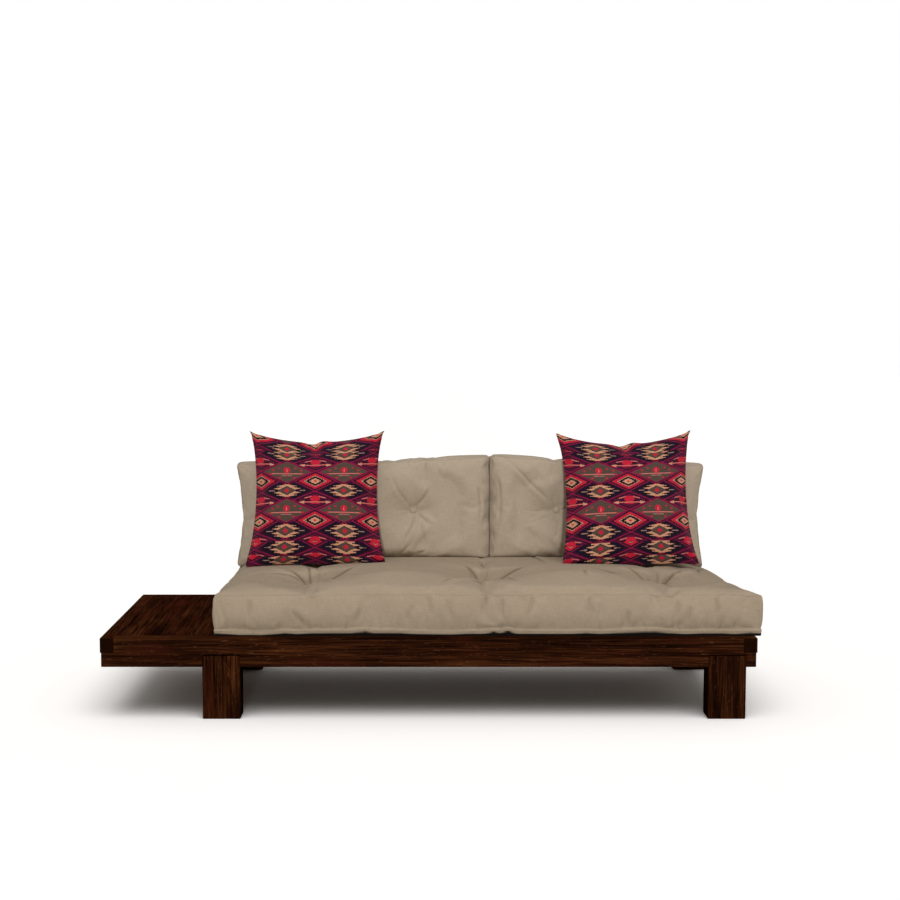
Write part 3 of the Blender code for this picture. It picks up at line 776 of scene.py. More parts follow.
@dataclass(frozen=True)
class Crease:
    """A fold along a bent line on a panel, in the panel's own metres: a groove with a ridge beside it."""

    path: tuple[Flat, ...]
    depth: float = 0.005
    width: float = 0.008
    lean: float = 1.0
    steps: int = 8
    run_in: float = 6.0
    run_out: float = 2.0
    groove_width: float = 0.65
    groove_share: float = 0.85
    ridge_away: float = 1.7
    ridge_width: float = 1.5
    ridge_share: float = 0.65
    margin: float = 6.0
    # How deep a fold is before its painted shade reaches full strength
    fold_shade_depth: float = 0.005

    def line(self) -> Array:
        """Draw the fold's path as a smooth curve.

        Returns:
            The curve's points, one row each.
        """
        points = np.array([self.path[0], *self.path, self.path[-1]], float)
        run = []
        for first, second, third, fourth in zip(points, points[1:], points[2:], points[3:]):
            for share in np.linspace(0.0, 1.0, self.steps, endpoint=False):
                bend = 2 * second + (third - first) * share
                bend = bend + (2 * first - 5 * second + 4 * third - fourth) * share**2
                bend = bend + (3 * second - first - 3 * third + fourth) * share**3
                run.append(bend / 2)
        return np.array([*run, points[-1]])

    def press(self, places: Array) -> tuple[Array, Array]:
        """How far the fold moves each place out, and how deep in the fold it lies.

        Args:
            places: Points of the panel, one row each.

        Returns:
            The move outwards in metres, and the share of the fold from 0 to 1, which sets the fold's painted
            shade.
        """
        line = self.line()
        best = np.full(len(places), 1e9)
        side = np.zeros(len(places))
        progress = np.zeros(len(places))
        count = len(line) - 1
        for index, (start, end) in enumerate(zip(line, line[1:])):
            run = end - start
            length = max(float(run @ run), 1e-12)
            share = np.clip(((places - start) @ run) / length, 0.0, 1.0)
            away = places - start - share[:, None] * run
            distance = np.hypot(away[:, 0], away[:, 1])
            nearer = distance < best
            best = np.where(nearer, distance, best)
            turn = run[0] * away[:, 1] - run[1] * away[:, 0]
            side = np.where(nearer, np.sign(turn) * distance, side)
            progress = np.where(nearer, (index + share) / count, progress)
        taper = np.clip(np.minimum(progress * self.run_in, (1.0 - progress) * self.run_out), 0.0, 1.0)
        taper = taper * taper * (3 - 2 * taper)
        groove = np.exp(-((best / (self.groove_width * self.width)) ** 2)) * taper
        beside = side * self.lean - self.ridge_away * self.width
        ridge = np.exp(-((beside / (self.ridge_width * self.width)) ** 2)) * taper
        return self.depth * (self.ridge_share * ridge - self.groove_share * groove), groove**2


def radiating(centre: Flat, count: int, reach: float, seed: int, depth: float) -> list[Crease]:
    """Creases all round a tuft.

    Args:
        centre: The tuft's place on the panel.
        count: How many creases.
        reach: How far the longest runs.
        seed: Which pattern of lengths and turns.
        depth: How deep they are.

    Returns:
        The creases.
    """
    start = 0.014
    draw = np.random.default_rng(seed)
    creases = []
    for index in range(count):
        angle = math.tau * (index + draw.uniform(-0.3, 0.3)) / count
        length = reach * draw.uniform(0.35, 1.0)
        bend = angle + draw.uniform(-0.35, 0.35)
        steps = ((start, angle), (length * 0.5, angle), (length, bend))
        path = tuple((centre[0] + r * math.cos(a), centre[1] + r * math.sin(a)) for r, a in steps)
        creases.append(Crease(path, depth * draw.uniform(0.5, 1.0), draw.uniform(0.006, 0.01)))
    return creases


class Shell:
    """Collects the points and faces of one sewn cover, with its panels laid flat as UV metres."""

    def __init__(self) -> None:
        """Start an empty cover."""
        self.points: list[Array] = []
        self.faces: list[list[int]] = []
        self.flats: list[Array] = []
        self.count = 0

    def add(self, points: Array) -> Array:
        """Take in points.

        Args:
            points: An array whose last axis is x, y, z.

        Returns:
            Their numbers, in the array's own shape.
        """
        numbers = np.arange(self.count, self.count + points[..., 0].size).reshape(points.shape[:-1])
        self.points.append(points.reshape(-1, 3))
        self.count += numbers.size
        return numbers

    def panel(self, numbers: Array, flat: Array) -> None:
        """Add the quads of a grid.

        Args:
            numbers: The grid's point numbers.
            flat: The place of each on the flat panel.
        """
        near, far = slice(None, -1), slice(1, None)
        corners = ((near, near), (near, far), (far, far), (far, near))
        self.faces.extend(np.stack([numbers[corner] for corner in corners], axis=-1).reshape(-1, 4).tolist())
        self.flats.append(np.stack([flat[corner] for corner in corners], axis=-2).reshape(-1, 2))

    def wall(self, rings: Sequence[Array], along: Array, heights: Sequence[float]) -> None:
        """Add the quads between rings of points.

        Args:
            rings: The rings' point numbers, each closed on itself.
            along: Distance along the ring at each point and back at the first.
            heights: Distance of each ring down the wall.
        """
        numbers = np.stack([np.append(ring, ring[0]) for ring in rings])
        flat = np.stack([np.stack([along, np.full_like(along, height)], axis=-1) for height in heights])
        self.panel(numbers, flat)

    def build(self, name: str) -> Object:
        """Make the mesh object.

        Args:
            name: The piece's name.

        Returns:
            The object, at the origin.
        """
        mesh = bpy.data.meshes.new(name)
        mesh.from_pydata(np.concatenate(self.points).tolist(), [], self.faces)
        layer = mesh.uv_layers.new(name="panel")
        layer.data.foreach_set("uv", np.concatenate(self.flats).astype(np.float32).ravel())
        work = bmesh.new()
        work.from_mesh(mesh)
        bmesh.ops.recalc_face_normals(work, faces=work.faces[:])
        work.to_mesh(mesh)
        work.free()
        mesh.shade_smooth()
        return add_object(name, mesh)


def rows_of(items: bpy_prop_collection, name: str) -> Array:
    """Three numbers of every item of a mesh.

    Args:
        items: The mesh's points or normals.
        name: What holds the numbers.

    Returns:
        The numbers, one row for each item.
    """
    flat = np.empty(len(items) * 3, np.float32)
    items.foreach_get(name, flat)
    return flat.reshape(-1, 3).astype(float)


def points_of(mesh: Mesh) -> Array:
    """A mesh's points, one row each."""
    return rows_of(mesh.vertices, "co")


def normals_of(mesh: Mesh) -> Array:
    """A mesh's point normals, one row each."""
    return rows_of(mesh.vertex_normals, "vector")


def move_points(mesh: Mesh, points: Array) -> None:
    """Put a mesh's points where the rows say."""
    mesh.vertices.foreach_set("co", points.astype(np.float32).ravel())
    mesh.update()


def plain_mesh(piece: Object) -> None:
    """Turn a piece and its modifiers into a plain mesh.

    Args:
        piece: The piece.
    """
    scene = bpy.context.evaluated_depsgraph_get()
    made = bpy.data.meshes.new_from_object(piece.evaluated_get(scene))
    made.name = piece.name
    piece.modifiers.clear()
    piece.data = made


def surface_of(piece: Object) -> BVHTree:
    """A piece's surface, for finding what touches it."""
    mesh = piece.data
    return BVHTree.FromPolygons([v.co for v in mesh.vertices], [list(p.vertices) for p in mesh.polygons])


@dataclass(frozen=True)
class Filling:
    """How a sewn cover is stuffed for its cloth simulation."""

    pressure: float
    slack: float
    bending: float
    hold: float
    reach: float
    start_inside: float


@dataclass
class Cover:
    """A sewn cover on its way to being a padded piece."""

    piece: Object
    filling: Filling
    held: Array
    shape: Array = field(init=False)
    least_facing: float = 0.25
    facing_span: float = 0.4
    # How far below an edge the painted shadow takes to reach full strength
    edge_shade: float = 0.0016

    def __post_init__(self) -> None:
        """Keep the cover's drawn shape."""
        self.shape = points_of(self.piece.data)

    def stuff(self) -> None:
        """Give the cover its cloth settings, a little inside its drawn shape."""
        filling = self.filling
        mesh = self.piece.data
        inside = normals_of(mesh) * filling.start_inside * (1 - self.held)[:, None]
        move_points(mesh, self.shape - inside)
        pins = self.piece.vertex_groups.new(name="held")
        weights = np.clip(np.maximum(self.held, filling.hold), 0.0, 1.0)
        for weight in np.unique(np.round(weights, 2)):
            members = np.nonzero(np.round(weights, 2) == weight)[0]
            pins.add(members.tolist(), float(weight), "REPLACE")
        cloth = self.piece.modifiers.new("stuffing", "CLOTH")
        settings = cloth.settings
        settings.quality = 4
        settings.mass = 0.3
        settings.tension_stiffness = 18.0
        settings.compression_stiffness = 18.0
        settings.shear_stiffness = 6.0
        settings.bending_stiffness = filling.bending
        settings.air_damping = 3.0
        settings.shrink_min = -filling.slack
        settings.use_pressure = True
        settings.uniform_pressure_force = filling.pressure
        settings.vertex_group_mass = pins.name
        settings.pin_stiffness = 1.0
        settings.effector_weights.gravity = 0.0
        cloth.collision_settings.use_collision = False
        cloth.collision_settings.use_self_collision = False

    def take(self) -> None:
        """Keep the simulated cloth, moved no further than the filling's reach."""
        scene = bpy.context.evaluated_depsgraph_get()
        evaluated = self.piece.evaluated_get(scene)
        settled = points_of(evaluated.data)
        self.piece.modifiers.clear()
        move = settled - self.shape
        length = np.linalg.norm(move, axis=1, keepdims=True)
        share = np.minimum(1.0, self.filling.reach / np.maximum(length, 1e-9))
        move_points(self.piece.data, self.shape + move * share)
        LOG.info("%s settled by %.1f mm", self.piece.name, 1000 * float(length.mean()))

    def refine(self) -> None:
        """Divide every face once, with a smooth surface, and close an open underside."""
        finer = self.piece.modifiers.new("finer", "SUBSURF")
        finer.levels = 1
        finer.render_levels = 1
        self.piece.vertex_groups.clear()
        plain_mesh(self.piece)
        shell = bmesh.new()
        shell.from_mesh(self.piece.data)
        rim = [edge for edge in shell.edges if edge.is_boundary]
        flat = shell.loops.layers.uv.active
        for face in bmesh.ops.holes_fill(shell, edges=rim, sides=0)["faces"]:
            for corner in face.loops:
                corner[flat].uv = corner.vert.co.xy
        bmesh.ops.recalc_face_normals(shell, faces=shell.faces[:])
        shell.to_mesh(self.piece.data)
        shell.free()
        self.piece.data.shade_smooth()

    def crease(
        self, creases: Iterable[Crease], axes: tuple[Vector, ...], origin: Vector, shade: float = 1.0
    ) -> None:
        """Draw folds into one panel, and store their painted shade for the material.

        Args:
            creases: The folds, in the panel's metres.
            axes: The panel's two directions and the one it faces.
            origin: The panel's zero.
            shade: How dark the painted shade in the folds is, from 0 to 1.
        """
        mesh = self.piece.data
        points = points_of(mesh)
        normals = normals_of(mesh)
        first, second, facing = (np.array(axis) for axis in axes)
        from_origin = points - np.array(origin)
        places = np.stack([from_origin @ first, from_origin @ second], axis=-1)
        turned = np.clip((normals @ facing - self.least_facing) / self.facing_span, 0.0, 1.0)
        fold = self.painted_fold_shade()
        move = np.zeros(len(points))
        for crease in creases:
            line = crease.line()
            margin = crease.margin * crease.width
            near = np.all((places > line.min(0) - margin) & (places < line.max(0) + margin), axis=1)
            near &= turned > 0
            if near.any():
                out, share = crease.press(places[near])
                move[near] += out * turned[near]
                # Store the fold's painted shade, which the cotton's material darkens by
                dark = shade * min(1.0, crease.depth / crease.fold_shade_depth)
                fold[near] = np.maximum(fold[near], share * turned[near] * dark)
        move_points(mesh, points + normals * move[:, None])
        mesh.attributes["fold"].data.foreach_set("value", fold.astype(np.float32))

    def painted_fold_shade(self) -> Array:
        """Read how deep in a fold each point lies, which is the painted shade that the material lays there.

        Returns:
            The depths, from 0 to 1.
        """
        mesh = self.piece.data
        stored = mesh.attributes.get("fold") or mesh.attributes.new("fold", "FLOAT", "POINT")
        values = np.zeros(len(mesh.vertices), np.float32)
        stored.data.foreach_get("value", values)
        return values.astype(float)

    def paint_shadow_under(self, edge: Array) -> None:
        """Mark the points that lie under an edge, where the material paints a shadow.

        Args:
            edge: The edge's height at each point.
        """
        mesh = self.piece.data
        shade = np.clip((edge - points_of(mesh)[:, 2]) / self.edge_shade, 0.0, 1.0)
        mesh.attributes.new("under", "FLOAT", "POINT").data.foreach_set("value", shade.astype(np.float32))

    def stop_at(self, plane: float, side: int) -> None:
        """Flatten what reaches past an upright plane across X, where two covers meet.

        Args:
            plane: The plane's place along X.
            side: 1 when the piece lies on the low side of it, and -1 on the high side.
        """
        points = points_of(self.piece.data)
        limit = plane - side * TOUCH_GAP / 2
        points[:, 0] = np.minimum(points[:, 0], limit) if side > 0 else np.maximum(points[:, 0], limit)
        move_points(self.piece.data, points)

    def press_on(self, other: BVHTree, towards: Vector, start: float, give: float = 1.0) -> None:
        """Push points out of a neighbour, back the way they came.

        Args:
            other: The neighbour's surface.
            towards: The direction in which this piece leans or sinks.
            start: How far ahead of the neighbour to look from.
            give: How far at most a point gives way.
        """
        mesh = self.piece.data
        points = points_of(mesh)
        for index, point in enumerate(points):
            place = Vector(point)
            hit = other.ray_cast(place - towards * start, towards, start + TOUCH_GAP)
            if hit[0] is not None:
                back = hit[0] - towards * TOUCH_GAP - place
                points[index] = place + back * min(1.0, give / max(back.length, 1e-9))
        move_points(mesh, points)


def settle(covers: Sequence[Cover], frames: int) -> None:
    """Run the cloth simulation of every cover together.

    Args:
        covers: The stuffed covers.
        frames: How many frames it runs.
    """
    scene = bpy.context.scene
    scene.frame_start = 1
    scene.frame_end = frames
    for cover in covers:
        cover.stuff()
    for number in range(1, frames + 1):
        scene.frame_set(number)
    for cover in covers:
        cover.take()
    scene.frame_set(1)


@dataclass
class Mattress:
    """The tufted futon mattress on the slats."""

    centre: Vector = field(default_factory=lambda: Vector((0.204, 0.008, 0.3003)))
    length: float = 2.018
    depth: float = 0.844
    edge_height: float = 0.153
    crown: float = 0.033
    swell: float = 0.007
    draw_in: float = 0.007
    slump_left: float = 0.028
    slump_right: float = 0.084
    slump_power: float = 0.6
    slump_front: float = 0.25
    shoulder_left: int = 30
    shoulder_right: int = 9
    corner: float = 0.008
    tuft_spacing_x: float = 0.658
    tuft_spacing_y: float = 0.256
    tuft_depth: float = 0.048
    rear_tuft_depth: float = 0.009
    tuft_radius: float = 0.07
    tuft_reach: float = 0.1
    tuft_core: float = 0.45
    tuft_tie: float = 0.012
    tuft_folds: int = 9
    tuft_fold_reach: float = 0.15
    tuft_fold_depth: float = 0.003
    channel: float = 0.024
    channel_place: float = 0.03
    channel_width: float = 0.05
    bolster: float = 0.026
    bolster_place: float = -0.1
    bolster_width: float = 0.08
    bolster_sink: float = 0.35
    back_drop: float = 0.012
    back_drop_start: float = -0.1
    back_drop_span: float = 0.6
    columns: int = 188
    rows: int = 84
    lip: float = 0.0145
    ripple: float = 0.015
    ripple_middle: float = 0.42
    ripple_least: float = 0.06
    ripple_waves: tuple[Triple, ...] = ((0.25, 9.3, 0.6), (0.2, 23.9, 0.0), (0.13, 61.0, 0.0))
    hem: tuple[Flat, ...] = (
        (-1.009, 0.012), (-0.95, 0.0086), (-0.91, 0.0045), (-0.832, 0.0041), (-0.792, 0.007),
        (-0.745, 0.0124), (-0.701, 0.0085), (-0.645, 0.0118), (-0.505, 0.0122), (-0.45, 0.017),
        (-0.417, 0.012), (-0.322, 0.012), (-0.274, 0.008), (-0.131, 0.0049), (-0.08, 0.0085),
        (-0.01, 0.009), (0.02, 0.0155), (0.045, 0.012), (0.074, 0.019), (0.104, 0.009),
        (0.313, 0.0086), (0.358, 0.012), (0.413, 0.0086), (0.468, 0.012), (0.578, 0.0165),
        (0.614, 0.017), (0.662, 0.0122), (0.725, 0.0086), (0.791, 0.0116), (0.861, 0.012),
        (0.908, 0.009), (0.963, 0.014), (1.009, 0.012),
    )
    hem_scale: float = 1.15
    hem_front: float = 0.4
    # Each ring of the side wall: the share of the way down, the distance out, and the share of the hem
    wall: tuple[Triple, ...] = (
        (0.05, 0.0045, 0.0), (0.13, 0.0065, 0.0), (0.24, 0.0075, 0.0), (0.36, 0.008, 0.0),
        (0.49, 0.008, 0.0), (0.62, 0.0075, 0.0), (0.74, 0.0065, 0.2), (0.85, 0.005, 0.6),
        (0.905, 0.003, 1.0), (0.945, 0.0072, 1.0), (0.978, 0.0068, 1.0), (0.996, 0.0056, 0.95),
        (1.0, 0.0054, 0.06), (1.0, 0.0046, 0.0), (1.0, 0.0032, 0.0), (1.0, -0.03, 0.0),
    )
    wall_seam: float = 0.9
    end_inset: float = 0.0035
    seam_hold: float = 0.25
    front_fold: Flat = (0.0068, 0.0135)
    front_fold_pitch: float = 0.062
    front_fold_foot: float = 0.017
    filling: Filling = Filling(2.2, 0.028, 0.12, 0.02, 0.013, 0.002)

    def tufts(self) -> list[Flat]:
        """The tufts' places, from the mattress's middle."""
        places = itertools.product((-0.5, 0.5), (-1, 0, 1))
        return [(column * self.tuft_spacing_x, row * self.tuft_spacing_y) for row, column in places]

    def top(self, u: Array, v: Array) -> Array:
        """The upper panel's points, from the middle of the underside.

        Args:
            u: Places along the mattress, from -1 to 1.
            v: Places across it, from -1 to 1.

        Returns:
            The points.
        """
        half = (self.length / 2 - self.swell, self.depth / 2 - self.swell)
        x, y = rounded(u * half[0], v * half[1], half, self.corner)
        x = x - np.maximum(u, 0.0) * self.draw_in * (1 - v**2)
        y = y - v * self.draw_in * (1 - u**2)
        z = self.edge_height + self.crown * (1 - u**4) * (1 - v**6)
        slump = np.where(u > 0, self.slump_right, self.slump_left)
        shoulder = np.where(u > 0, self.shoulder_right, self.shoulder_left)
        slump = slump * ((1 + v) / 2) ** self.slump_power * np.clip((1 + v) / self.slump_front, 0.0, 1.0)
        z = z - slump * np.abs(u) ** shoulder
        sunk = np.clip((v - self.back_drop_start) / self.back_drop_span, 0.0, 1.0)
        z = z - self.back_drop * sunk * (1 - u**8)
        behind = y + self.tuft_spacing_y / 2
        groove = dimple(behind - self.channel_place, self.channel_width, self.channel)
        z = z - groove * (1 - u**4)
        between = 0.5 - 0.5 * np.cos(math.tau * x / self.tuft_spacing_x) - self.bolster_sink
        z = z + between * dimple(behind - self.bolster_place, self.bolster_width, self.bolster) * (1 - u**8)
        for tuft_x, tuft_y in self.tufts():
            away = np.hypot(x - tuft_x, y - tuft_y)
            depth = self.tuft_depth if tuft_y < 0 else self.rear_tuft_depth
            z = z - dimple(away, self.tuft_radius, depth * self.tuft_core)
            z = z - depth * (1 - self.tuft_core) * np.exp(-away / self.tuft_reach)
        return np.stack([x, y, z], axis=-1)

    def hem_height(self, x: Array, y: Array) -> Array:
        """How high the lower seam's lip hangs over the slats.

        Args:
            x: Places along the mattress, from its middle.
            y: Places across it.

        Returns:
            The heights.
        """
        wave = self.ripple_middle
        for size, turns, start in self.ripple_waves:
            wave = wave + size * np.sin((x + y) * turns + start)
        drawn = self.hem_scale * np.interp(x, *zip(*self.hem))
        rippled = self.ripple * np.clip(wave, self.ripple_least, 1.0)
        return np.where(y < -self.hem_front * self.depth, drawn, rippled)

    def cover(self) -> Cover:
        """Sew the cover: upper panel, side wall with a seam over the slats, and a flat underside.

        Returns:
            The cover.
        """
        u, v = panel_grid(self.columns, self.rows)
        top = self.top(u, v)
        shell = Shell()
        numbers = shell.add(top + np.array(self.centre))
        shell.panel(numbers, top[..., :2])

        ring = border(top)
        outward = outward_of(border(u), border(v))
        hem = self.hem_height(ring[:, 0], ring[:, 1])
        ends = np.abs(outward[:, 0]) > 0.9
        underside = self.wall[-1][1]
        rings = [border(numbers)]
        heights = [0.0]
        sewn = []
        for share, outset, ripple in self.wall:
            row = ring.copy()
            inset = self.end_inset if share > self.wall_seam else 0.0
            reach = np.where(ends, max(outset - inset, underside), outset)
            row[:, :2] += outward * reach[:, None]
            row[:, 2] = ring[:, 2] * (1 - share) + ripple * hem
            rings.append(shell.add(row + np.array(self.centre)))
            heights.append(share * self.edge_height)
            if share > self.wall_seam:
                sewn.append(rings[-1])
        shell.wall(rings, length_round(ring), heights)
        piece = shell.build("mattress_cover")

        held = np.zeros(shell.count)
        held[np.concatenate(sewn)] = 1.0
        held[rings[0]] = self.seam_hold
        flat = top.reshape(-1, 3)
        for tuft_x, tuft_y in self.tufts():
            held[: len(flat)] += np.hypot(flat[:, 0] - tuft_x, flat[:, 1] - tuft_y) < self.tuft_tie
        return Cover(piece, self.filling, np.clip(held, 0.0, 1.0))

    def creases(self) -> list[Crease]:
        """Draw the folds of the upper panel, most of them out from the tufts.

        Returns:
            The folds, as places along the mattress and across it.
        """
        folds = [
            Crease(((-0.675, -0.118), (-0.76, -0.02), (-0.85, 0.055)), 0.01, 0.012),
            Crease(((-0.668, -0.11), (-0.69, 0.04), (-0.72, 0.14)), 0.005),
            Crease(((-0.64, -0.122), (-0.56, -0.06), (-0.45, 0.04), (-0.31, 0.09)), 0.006, 0.012, -1.0),
            Crease(((-0.68, -0.135), (-0.78, -0.16), (-0.915, -0.24)), 0.009, 0.012),
            Crease(((-0.64, -0.14), (-0.6, -0.24), (-0.59, -0.33)), 0.004),
            Crease(((-0.7, -0.11), (-0.8, -0.06), (-0.93, -0.08)), 0.004),
            Crease(((-0.01, -0.112), (-0.075, 0.01), (-0.19, 0.07), (-0.33, 0.06)), 0.006, 0.012),
            Crease(((-0.03, -0.2), (-0.085, -0.262), (-0.145, -0.3), (-0.185, -0.39)), 0.009, 0.011),
            Crease(((-0.02, -0.14), (-0.09, -0.16), (-0.15, -0.25)), 0.005),
            Crease(((0.018, -0.118), (0.12, -0.04), (0.24, 0.04)), 0.006, 0.012, -1.0),
            Crease(((0.016, -0.14), (0.08, -0.24), (0.125, -0.35)), 0.006),
            Crease(((0.0, -0.15), (-0.02, -0.24), (-0.012, -0.35)), 0.004),
            Crease(((0.64, -0.125), (0.51, -0.07), (0.33, 0.01)), 0.006, 0.012),
            Crease(((0.645, -0.112), (0.575, -0.02), (0.55, 0.05)), 0.005),
            Crease(((0.676, -0.12), (0.74, -0.04), (0.84, 0.08)), 0.013, 0.014, -1.0),
            Crease(((0.672, -0.14), (0.7, -0.24), (0.715, -0.35)), 0.006),
            Crease(((0.68, -0.13), (0.78, -0.14), (0.9, -0.21)), 0.009, 0.012, -1.0),
            Crease(((0.21, 0.34), (0.235, 0.2), (0.255, 0.03)), 0.006, 0.009),
            Crease(((0.386, -0.09), (0.372, -0.2), (0.379, -0.34)), 0.006, 0.01),
            Crease(((0.92, 0.26), (0.86, 0.1), (0.84, -0.08)), 0.005, 0.011),
        ]
        for index, tuft in enumerate(self.tufts()):
            folds += radiating(tuft, self.tuft_folds, self.tuft_fold_reach, 40 + index, self.tuft_fold_depth)
        return folds

    def front_creases(self) -> list[Crease]:
        """Draw the upright folds of the front wall.

        Returns:
            The folds, as places along the wall and heights over the slats.
        """
        drawn = (
            ((-0.72, 0.095), (-0.69, 0.062), (-0.655, 0.032)),
            ((-0.485, 0.055), (-0.47, 0.085), (-0.452, 0.11)),
            ((-0.223, 0.15), (-0.212, 0.11), (-0.216, 0.07)),
            ((-0.272, 0.118), (-0.29, 0.08), (-0.298, 0.046)),
            ((-0.146, 0.138), (-0.138, 0.09), (-0.128, 0.044)),
            ((-0.002, 0.146), (-0.016, 0.11), (-0.024, 0.062)),
            ((0.165, 0.148), (0.146, 0.09), (0.124, 0.032)),
            ((0.055, 0.138), (0.048, 0.1), (0.058, 0.06)),
            ((0.38, 0.148), (0.372, 0.11), (0.384, 0.072)),
            ((0.7, 0.135), (0.69, 0.095), (0.672, 0.05)),
            ((0.742, 0.112), (0.738, 0.08), (0.728, 0.05)),
            ((0.83, 0.148), (0.838, 0.105), (0.822, 0.06)),
            ((-0.88, 0.14), (-0.872, 0.1), (-0.884, 0.052)),
            ((0.52, 0.1), (0.512, 0.066), (0.524, 0.03)),
        )
        folds = [Crease(path, *self.front_fold) for path in drawn]
        foot = self.front_fold_foot
        draw = np.random.default_rng(8)
        for start in np.arange(-0.95, 0.96, self.front_fold_pitch):
            x = float(start + draw.uniform(-0.02, 0.02))
            height = float(draw.uniform(0.03, 0.075))
            slant = float(draw.uniform(-0.028, 0.028))
            path = ((x, foot), (x + slant * 0.4, foot + height * 0.5), (x + slant, foot + height))
            folds.append(Crease(path, float(draw.uniform(0.0015, 0.004)), float(draw.uniform(0.007, 0.012))))
        return folds


@dataclass
class BackCushion:
    """A tufted back cushion that stands on the mattress."""

    hand: str
    foot: Vector
    width: float
    tuft_inset: float
    rise: float
    folds: tuple[Crease, ...]
    height: float = 0.433
    thickness: float = 0.14
    edge_thickness: float = 0.086
    draw_in: float = 0.01
    outer_draw_in: float = 0.024
    inner_draw_in: float = 0.001
    outer_reach: float = 0.006
    inner_bulge: float = 0.011
    ruffle: float = 0.0042
    ruffle_waves: tuple[Flat, Flat] = ((0.0024, 7.3), (0.0018, 19.0))
    ruffle_shift: float = 14.0
    ruffle_edge: int = 41
    swell: float = 0.006
    swell_power: float = 0.7
    seam_ridge: float = 0.0022
    seam_hold: float = 0.3
    edge_rings: tuple[float, ...] = (0.025, 0.075, 0.2, 0.35, 0.5, 0.65, 0.8, 0.925, 0.975)
    corner: float = 0.016
    tuft_depth: float = 0.034
    tuft_radius: float = 0.075
    tuft_tie: float = 0.016
    tuft_folds: int = 10
    tuft_fold_reach: float = 0.085
    tuft_fold_depth: float = 0.0025
    lean: float = -0.034907
    cell: float = 0.0092
    filling: Filling = Filling(1.6, 0.024, 0.1, 0.02, 0.01, 0.002)

    def name(self) -> str:
        """The cushion's node and body."""
        return f"back_cushion_{self.hand}"

    def pose(self) -> Array:
        """The turn that leans the cushion back."""
        return np.array(Euler((self.lean, 0.0, 0.0)).to_matrix())

    def tufts(self) -> list[Flat]:
        """The tufts' places on the cushion, from the middle of its foot."""
        reach = self.width / 2 - self.tuft_inset
        return [(x, self.height / 2 + self.rise * x / self.width) for x in (-reach, reach)]

    def face(self, u: Array, v: Array, side: int) -> Array:
        """One panel's points, upright, from the middle of the foot.

        Args:
            u: Places across, from -1 to 1.
            v: Places up, from -1 to 1.
            side: -1 for the front and 1 for the rear.

        Returns:
            The points.
        """
        half = (self.width / 2 - self.swell, self.height / 2 - self.swell)
        x, z = rounded(u * half[0], v * half[1], half, self.corner)
        inner = u * self.rise > 0
        x = x - u * np.where(inner, self.inner_draw_in, self.outer_draw_in) * (1 - v**2)
        x = x + np.where(inner, 0.0, u * self.outer_reach)
        ruffle = self.ruffle
        for (size, turns), start in zip(self.ruffle_waves, (self.ruffle_shift * self.width, side)):
            ruffle = ruffle + size * np.sin(turns * v + start)
        x = x - np.where(inner, u**self.ruffle_edge, 0.0) * ruffle
        z = z - v * self.draw_in * (1 - u**2) + self.height / 2
        full = np.sqrt(np.maximum((1 - u**6) * (1 - v**4), 0.0))
        depth = (self.edge_thickness + (self.thickness - self.edge_thickness) * full) / 2
        reach = self.width / 2 - self.tuft_inset
        for tuft in (-reach, reach):
            away = np.hypot(x - tuft, z - self.height / 2)
            depth = depth - dimple(away, self.tuft_radius, self.tuft_depth)
        return np.stack([x, side * depth, z + self.rise * x / self.width], axis=-1)

    def set_up(self, points: Array) -> Array:
        """Lean points back and stand them on the cushion's foot."""
        return points @ self.pose().T + np.array(self.foot)

    def cover(self) -> Cover:
        """Sew the cover: a front and a rear panel joined by a boxed edge.

        Returns:
            The cover.
        """
        u, v = panel_grid(round(self.width / self.cell), round(self.height / self.cell))
        front = self.face(u, v, -1)
        rear = self.face(u, v, 1)
        shell = Shell()
        front_numbers = shell.add(self.set_up(front))
        rear_numbers = shell.add(self.set_up(rear))
        shell.panel(front_numbers, front[..., ::2])
        shell.panel(rear_numbers, rear[..., ::2])
        ring = border(front)
        back_ring = border(rear)
        outward = outward_of(border(u), border(v))
        rings = [border(front_numbers)]
        shares = self.edge_rings
        meeting = np.where(outward[:, 0] * self.rise > 0, self.inner_bulge, 0.0)
        for share in shares:
            row = ring * (1 - share) + back_ring * share
            seam = share in (shares[0], shares[-1])
            bulge = self.seam_ridge if seam else self.swell * math.sin(math.pi * share) ** self.swell_power
            row[:, 0] += outward[:, 0] * (bulge + meeting * math.sin(math.pi * share))
            row[:, 2] += outward[:, 1] * bulge
            rings.append(shell.add(self.set_up(row)))
        rings.append(border(rear_numbers))
        shell.wall(rings, length_round(ring), [share * self.edge_thickness for share in (0.0, *shares, 1.0)])
        piece = shell.build(f"{self.name()}_cover")

        held = np.zeros(shell.count)
        held[np.concatenate([rings[0], rings[-1]])] = self.seam_hold
        for flat, numbers in ((front, front_numbers), (rear, rear_numbers)):
            for tuft_x, tuft_z in self.tufts():
                close = np.hypot(flat[..., 0] - tuft_x, flat[..., 2] - tuft_z) < self.tuft_tie
                held[numbers[close]] = 1.0
        return Cover(piece, self.filling, held)

    def crease(self, cover: Cover) -> None:
        """Draw the folds that run out from the tufts, on the front and on the rear.

        Args:
            cover: The cushion's cover.
        """
        pose = Matrix(self.pose().tolist())
        extra: list[Crease] = []
        for index, tuft in enumerate(self.tufts()):
            seed = 60 + index + round(100 * self.width)
            extra += radiating(tuft, self.tuft_folds, self.tuft_fold_reach, seed, self.tuft_fold_depth)
        for side in (-1, 1):
            axes = (RIGHT, pose @ UP, pose @ BACK * side)
            folds = [*self.folds, *extra] if side < 0 else extra
            cover.crease(folds, axes, self.foot)


